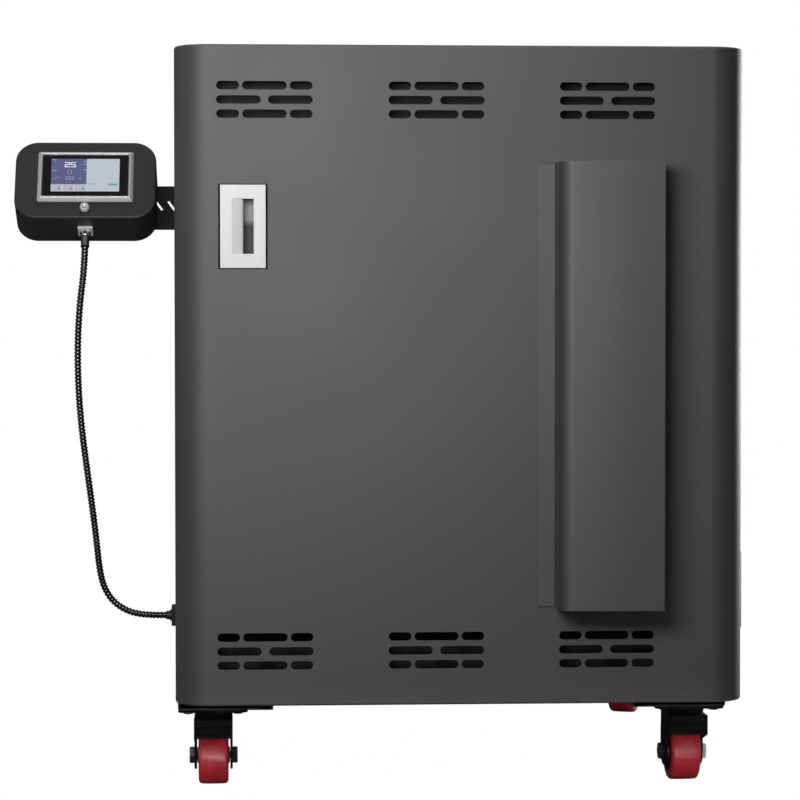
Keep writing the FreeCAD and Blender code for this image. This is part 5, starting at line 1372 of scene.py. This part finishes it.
@dataclass
class Conduit:
    """The ribbed hose from the controller's connector to the block on the cabinet's side."""

    points: tuple = (
        (-0.4727, -0.32209, 0.71068), (-0.4727, -0.34149, 0.67801), (-0.4785, -0.343, 0.634),
        (-0.482, -0.3335, 0.584), (-0.4823, -0.320, 0.531), (-0.4795, -0.3055, 0.479),
        (-0.474, -0.2905, 0.427), (-0.468, -0.276, 0.376), (-0.463, -0.2625, 0.328),
        (-0.460, -0.252, 0.290), (-0.4545, -0.2445, 0.2635), (-0.4415, -0.239, 0.243),
        (-0.4205, -0.236, 0.230), (-0.3955, -0.235, 0.2262), (-0.3735, -0.235, 0.2262),
    )
    ribs: int = 119
    crest: float = 0.0045
    root: float = 0.0037
    length: float = 0.5627
    gland: tuple = (-0.3575, -0.235, 0.2262)

    def build(self) -> None:
        """Build and dress the hose and its block gland."""
        route = self.route()
        hose = ribbed_hose_grower().grow(
            "hose", points_mesh(route, True), Ribs=self.ribs, Crest_Radius=self.crest, Root_Radius=self.root,
            Material=FINISH["hose_black"],
        )
        hose.data.shade_smooth()
        hose.data.set_sharp_from_angle(angle=math.radians(75))
        self.check(route)
        dress(hose, "cabinet", FINISH["hose_black"], ["conduit"])
        self.block()

    def route(self) -> list[tuple[float, float, float]]:
        """The hose's middle line as closely set points."""
        curve = bpy.data.curves.new("route", "CURVE")
        curve.dimensions = "3D"
        spline = curve.splines.new("NURBS")
        spline.points.add(len(self.points) - 1)
        for point, place in zip(spline.points, self.points):
            point.co = (*place, 1.0)
        spline.order_u = 3
        spline.use_endpoint_u = True
        spline.resolution_u = 24
        holder = bpy.data.objects.new("route", curve)
        bpy.context.scene.collection.objects.link(holder)
        graph = bpy.context.evaluated_depsgraph_get()
        line = bpy.data.meshes.new_from_object(holder.evaluated_get(graph))
        places = [tuple(v.co) for v in line.vertices]
        bpy.data.objects.remove(holder)
        bpy.data.meshes.remove(line)
        return places

    def check(self, route: Sequence[Point]) -> None:
        """Log the middle line's length."""
        reach = sum((Vector(b) - Vector(a)).length for a, b in zip(route, route[1:]))
        LOG.info("hose runs %.4f m", reach)

    def block(self) -> None:
        """The black block on the cabinet's side, with its round nose and inner thread and nut."""
        at = Matrix.Translation(self.gland) @ Matrix.Rotation(-math.pi / 2, 4, "Y")
        body_part = prism(round_outline(0.0264, 0.0264, 0.002), 0.0, 0.009, 0.001)
        body_part.transform(at)
        nose = lathe([
            (0.0, 0.0046), (0.0, 0.0075), (0.0105, 0.0075), (0.0112, 0.007), (0.0118, 0.0058), (0.0150, 0.0056),
            (0.0156, 0.0058), (0.016, 0.0055), (0.016, 0.0046),
        ], 48)
        nose.transform(Matrix.Translation(self.gland) @ Matrix.Rotation(math.pi, 4, "Z"))
        inner = lathe([(0.0, 0.003), (0.0, 0.008), (0.014, 0.008), (0.014, 0.003)], 48)
        inner.transform(Matrix.Translation(self.gland))
        nut = lathe([(0.0015, 0.008), (0.0015, 0.012), (0.0085, 0.012), (0.0085, 0.008)], 6)
        nut.transform(Matrix.Translation(self.gland))
        piece = polish(from_bmesh("side_block", merge(body_part, nose, inner, nut)), 30)
        dress(piece, "cabinet", FINISH["black_moulding"], ["conduit_gland"])


# Casters


@dataclass
class Caster:
    """One swivel caster: fork, axle bolt and wheel, at its own corner and turn."""

    name: str
    x: float
    y: float
    turn: float
    trail: float = 0.022
    radius: float = 0.038
    half: float = 0.0195
    fork_half: float = 0.0251
    plated_nut: bool = False

    def spot(self) -> Matrix:
        """Where the caster stands and how it is turned."""
        return Matrix.Translation((self.x, self.y, 0)) @ Matrix.Rotation(math.radians(self.turn), 4, "Z")

    def build(self) -> None:
        """Build and dress the caster's pieces."""
        self.fork()
        self.wheel()
        self.axle()

    def fork(self) -> None:
        """The pressed fork, with softened edges and a rolled lip with an open lower edge."""
        softened(
            "fork_" + self.name, "caster_fork_" + self.name, "swivel_" + self.name,
            FINISH["caster_black"], [(0.0012, 3, None)],
        )

    def wheel(self) -> None:
        """A red tread with round shoulders and a parting line, on a dished core."""
        at = self.spot() @ Matrix.Translation((0, self.trail, self.radius))
        r, h = self.radius, self.half
        tread = lathe([
            (-h, 0.029), (-h, r - 0.0046), (-h + 0.0006, r - 0.0028), (-h + 0.002, r - 0.0011), (-h + 0.0042, r - 0.0003),
            (-0.008, r), (-0.0006, r), (0.0, r - 0.0003), (0.0006, r), (0.008, r),
            (h - 0.0042, r - 0.0003), (h - 0.002, r - 0.0011), (h - 0.0006, r - 0.0028), (h, r - 0.0046), (h, 0.029),
        ], 96, at)
        core = lathe([
            (-0.0216, 0.0051), (-0.0216, 0.0095), (-0.0206, 0.011), (-0.007, 0.0118), (-0.0052, 0.0135),
            (-0.0052, 0.0235), (-0.007, 0.0252), (-0.0188, 0.0258), (-0.0195, 0.0264), (-0.0195, 0.029),
            (0.0195, 0.029), (0.0195, 0.0264), (0.0188, 0.0258), (0.007, 0.0252), (0.0052, 0.0235),
            (0.0052, 0.0135), (0.007, 0.0118), (0.0206, 0.011), (0.0216, 0.0095), (0.0216, 0.0051),
        ], 72, at)
        body = "wheel_" + self.name
        outer = polish(from_bmesh("tyre_" + self.name, tread), 60)
        dress(outer, body, FINISH["wheel_red"], ["caster_wheel_" + self.name])
        inner = polish(from_bmesh("rim_" + self.name, core), 50)
        dress(inner, body, FINISH["wheel_core"])

    def axle(self) -> None:
        """The axle bolt, with a chamfered hexagon head and a nut."""
        at = self.spot() @ Matrix.Translation((0, self.trail, self.radius))
        shapes = [lathe([(-0.0312, 0.0), (-0.0312, 0.005), (0.0312, 0.005), (0.0312, 0.0)], 32, at)]
        for side in (-1, 1):
            head = prism(hexagon(0.020), self.fork_half, 0.0317, 0.0009)
            head.transform(at @ Matrix.Rotation(side * math.pi / 2, 4, "Y"))
            if side > 0 and self.plated_nut:
                nut = polish(from_bmesh("axle_nut_" + self.name, head), 30)
                dress(nut, "swivel_" + self.name, FINISH["cast_zinc"])
            else:
                shapes.append(head)
        piece = polish(from_bmesh("axle_bolt_" + self.name, merge(*shapes)), 30)
        dress(piece, "swivel_" + self.name, FINISH["dark_bolt"], ["caster_axle_" + self.name])


def build_casters() -> None:
    """The four casters and their top plates."""
    side, front, back = 0.3123, -0.2348, 0.389
    corners = (("front_left", -side, front, 0.0), ("front_right", side, front, 2.0),
               ("rear_left", -side, back, 6.0), ("rear_right", side, back, -20.0))
    for name, x, y, turn in corners:
        Caster(name, x, y, turn, plated_nut=name == "front_right").build()
    softened("caster_tops", "caster_plates", "cabinet", FINISH["caster_black"], [(0.0008, 2, None)])


# Inside


@dataclass
class Interior:
    """The firing chamber and the electrics behind it."""

    wire_x: float = 0.2087
    levels: tuple = (0.7224, 0.6464, 0.5704, 0.4944, 0.4184, 0.3424)
    first: float = -0.263
    last: float = 0.107
    tail: float = 0.2965
    door_tail_x: float = 0.15885
    door_tail: float = -0.457
    door_y: float = -0.2767
    door_reach: float = 0.174
    door_levels: tuple = (0.7064, 0.5904, 0.4744, 0.3584)
    coil_radius: float = 0.0040
    wire_radius: float = 0.0008
    pitch: float = 0.0044
    per_turn: int = 10
    bend: float = 0.0065
    wire_slot: str = "heating_wire"

    def build(self) -> None:
        """Build and dress what the door hides."""
        plain = (
            ("lining_floor", "soft_brick", "brick_level"), ("lining_roof", "soft_brick", "brick_level"),
            ("lining_left", "soft_brick", "brick_along"), ("lining_right", "soft_brick", "brick_along"),
            ("lining_rear", "soft_brick", "brick_across"), ("kiln_shelf", "shelf_ceramic", "shelf_clay"),
        )
        for node, slot_name, finish in plain:
            softened(node + "_face", node, "cabinet", FINISH[finish], [(0.0009, 1, None)])
        paint_node("inner_casing", FINISH["rolled_sheet"])
        paint_node("fibre_insulation", FINISH["fibre_board"])
        paint_node("door_fibre", FINISH["fibre_board"])
        paint_node("terminal_blocks", FINISH["glazed_white"])
        paint_node("door_terminal_block", FINISH["glazed_white"])
        paint_node("thermocouple", FINISH["glazed_white"])
        paint_node("electrics_plate", FINISH["rolled_sheet"])
        paint_node("heat_sink", FINISH["sink_alloy"])
        paint_node("power_relays", FINISH["relay_grey"])
        paint_node("control_board", FINISH["board_green"])
        paint_node("magnetic_catches", FINISH["plated_steel"])
        paint_node("terminal_cover_screws", FINISH["plated_steel"])
        paint_node("power_cable_gland", FINISH["black_moulding"])
        self.coils()

    def coils(self) -> None:
        """The wound heating wires in the grooves of the walls and the door."""
        grower = coil_grower()
        for side, name in ((-1, "left"), (1, "right")):
            route = self.side_route(side * self.wire_x)
            self.coil(grower, "coil_" + name, "cabinet", route, "element_" + name)
        self.coil(grower, "coil_door", "door", self.door_route(), "door_element")

    def coil(self, grower: Grower, name: str, body: str, route: Sequence[Point], node: str) -> None:
        """Wind one wire along its route.

        Args:
            grower: the tree that winds it.
            name: the piece's name.
            body: what it rides on.
            route: the corners of its middle line.
            node: the CAD node that it stands for.
        """
        line = self.eased(route)
        reach = sum((Vector(b) - Vector(a)).length for a, b in zip(line, line[1:]))
        count = int(reach / self.pitch * self.per_turn)
        made = grower.grow(
            name, points_mesh(line, True), Points=count, Points_In_A_Turn=float(self.per_turn),
            Coil_Radius=self.coil_radius, Wire_Radius=self.wire_radius, Material=FINISH["heating_alloy"],
        )
        made.data.shade_smooth()
        dress(made, body, FINISH["heating_alloy"], [node])

    def eased(self, route: Sequence[Point]) -> list[Point]:
        """A route with its corners cut to short curves."""
        spots = [Vector(point) for point in route]
        line = [spots[0]]
        for before, corner, after in zip(spots, spots[1:], spots[2:]):
            start = corner + (before - corner).normalized() * self.bend
            end = corner + (after - corner).normalized() * self.bend
            for n in range(5):
                share = n / 4
                line.append(start.lerp(corner, share).lerp(corner.lerp(end, share), share))
        return line + [spots[-1]]

    def side_route(self, x: float) -> list[Point]:
        """The corners of a side wall's wire, from its upper tail to its lower one."""
        points = [(x, self.tail, self.levels[0])]
        for n, level in enumerate(self.levels):
            near, far = (self.last, self.first) if n % 2 == 0 else (self.first, self.last)
            if n > 0:
                points.append((x, near, level))
            if n < len(self.levels) - 1:
                points.append((x, far, level))
        points.append((x, self.tail, self.levels[-1]))
        return points

    def door_route(self) -> list[Point]:
        """The corners of the door's wire."""
        x, y, tail = self.door_tail_x, self.door_y, self.door_tail
        reach = self.door_reach
        first, second, third, last = self.door_levels
        return [
            (x, tail, first), (x, y, first), (-reach, y, first), (-reach, y, second), (reach, y, second),
            (reach, y, third), (-reach, y, third), (-reach, y, last), (x, y, last), (x, tail, last),
        ]


# Studio


@dataclass
class Studio:
    """The floor, the lights and the camera."""

    camera_spot: tuple = (-0.2641, -3.8223, 0.6167)
    lens: float = 122.94
    yaw: float = -3.1565
    pitch: float = -1.734
    roll: float = 0.024
    floor_colour: tuple = (0.16, 0.16, 0.16)
    floor_glow: float = 0.97
    sky_glow: float = 0.13

    def build(self) -> None:
        """Set the whole studio up."""
        self.floor()
        self.lamps()
        self.sky()
        self.camera()
        bpy.context.scene.view_settings.view_transform = "Standard"

    def floor(self) -> None:
        """A wide plain floor, lit white, that throws little light back on the kiln."""
        shape = bmesh.new()
        bmesh.ops.create_grid(shape, x_segments=1, y_segments=1, size=60)
        plane = from_bmesh("studio_floor", shape)
        shader = Shader("studio_white")
        seen = shader.out("ShaderNodeLightPath", port="Is Camera Ray")
        matt = shader.out("ShaderNodeBsdfDiffuse", None, {"Color": rgb(self.floor_colour)})
        glow = shader.out("ShaderNodeEmission", None, {"Color": rgb((1, 1, 1)), "Strength": 1.03})
        surface = shader.out("ShaderNodeMixShader", None, {0: seen * self.floor_glow, 1: matt, 2: glow})
        shader.node("ShaderNodeOutputMaterial", None, {"Surface": surface})
        plane.data.materials.append(shader.material)

    def lamp(self, name: str, spot: Point, aim: Point, size: Point, power: float, spread: float = 180) -> None:
        """A soft rectangular lamp that faces a point.

        Args:
            name: the lamp's name.
            spot: where it hangs.
            aim: the point that it faces.
            size: its width and height.
            power: its power in watts.
            spread: how wide its light opens, in degrees.
        """
        light = bpy.data.lights.new(name, "AREA")
        light.shape = "RECTANGLE"
        light.size, light.size_y = size
        light.energy = power
        light.spread = math.radians(spread)
        holder = bpy.data.objects.new(name, light)
        bpy.context.scene.collection.objects.link(holder)
        holder.location = spot
        holder.rotation_euler = (Vector(aim) - Vector(spot)).to_track_quat("-Z", "Y").to_euler()
        holder.visible_camera = False

    def lamps(self) -> None:
        """A key before the door's upper left corner, a strip at the right and soft boxes all round."""
        self.lamp("key", (-0.46, -1.75, 1.0), (-0.26, -0.435, 0.86), (0.8, 0.5), 14)
        self.lamp("strip_right", (1.5, 0.9, 0.78), (0.36, -0.1, 0.66), (0.4, 0.9), 30)
        self.lamp("overhead", (0, 0.3, 3.0), (0, 0.1, 0.9), (1.6, 1.6), 22)
        self.lamp("side_left", (-2.6, 0.2, 1.2), (-0.36, 0.1, 0.5), (0.8, 1.2), 4)
        self.lamp("back", (1.0, 2.7, 1.6), (0, 0.435, 0.5), (1.6, 1.2), 45)
        self.lamp("floor_glow", (0, -1.3, 0.05), (0, 0, 0.04), (0.9, 0.08), 0.14, 12)

    def sky(self) -> None:
        """White behind the kiln for the camera, and a dim even light otherwise."""
        world = bpy.data.worlds.new("studio_sky")
        bpy.context.scene.world = world
        world.use_nodes = True
        world.node_tree.nodes.clear()
        sky = Graph(world.node_tree)
        seen = sky.out("ShaderNodeLightPath", port="Is Camera Ray")
        strength = seen * (1.0 - self.sky_glow) + self.sky_glow
        shown = sky.out("ShaderNodeBackground", None, {"Color": rgb((1, 1, 1)), "Strength": strength})
        sky.node("ShaderNodeOutputWorld", None, {"Surface": shown})

    def camera(self) -> None:
        """The camera at the photo's angle."""
        camera = bpy.data.cameras.new("camera")
        camera.lens = self.lens
        camera.sensor_width = 36
        holder = bpy.data.objects.new("camera", camera)
        bpy.context.scene.collection.objects.link(holder)
        holder.location = self.camera_spot
        holder.rotation_euler = (math.radians(90 + self.pitch), math.radians(self.roll), math.radians(self.yaw))
        bpy.context.scene.camera = holder


def main() -> None:
    """Build the kiln and the studio."""
    for piece in (Cabinet(), Door(), Cover(), Pull(), Controller(), Conduit()):
        piece.build()
    build_casters()
    Interior().build()
    Studio().build()


if __name__ == "__main__":
    main()
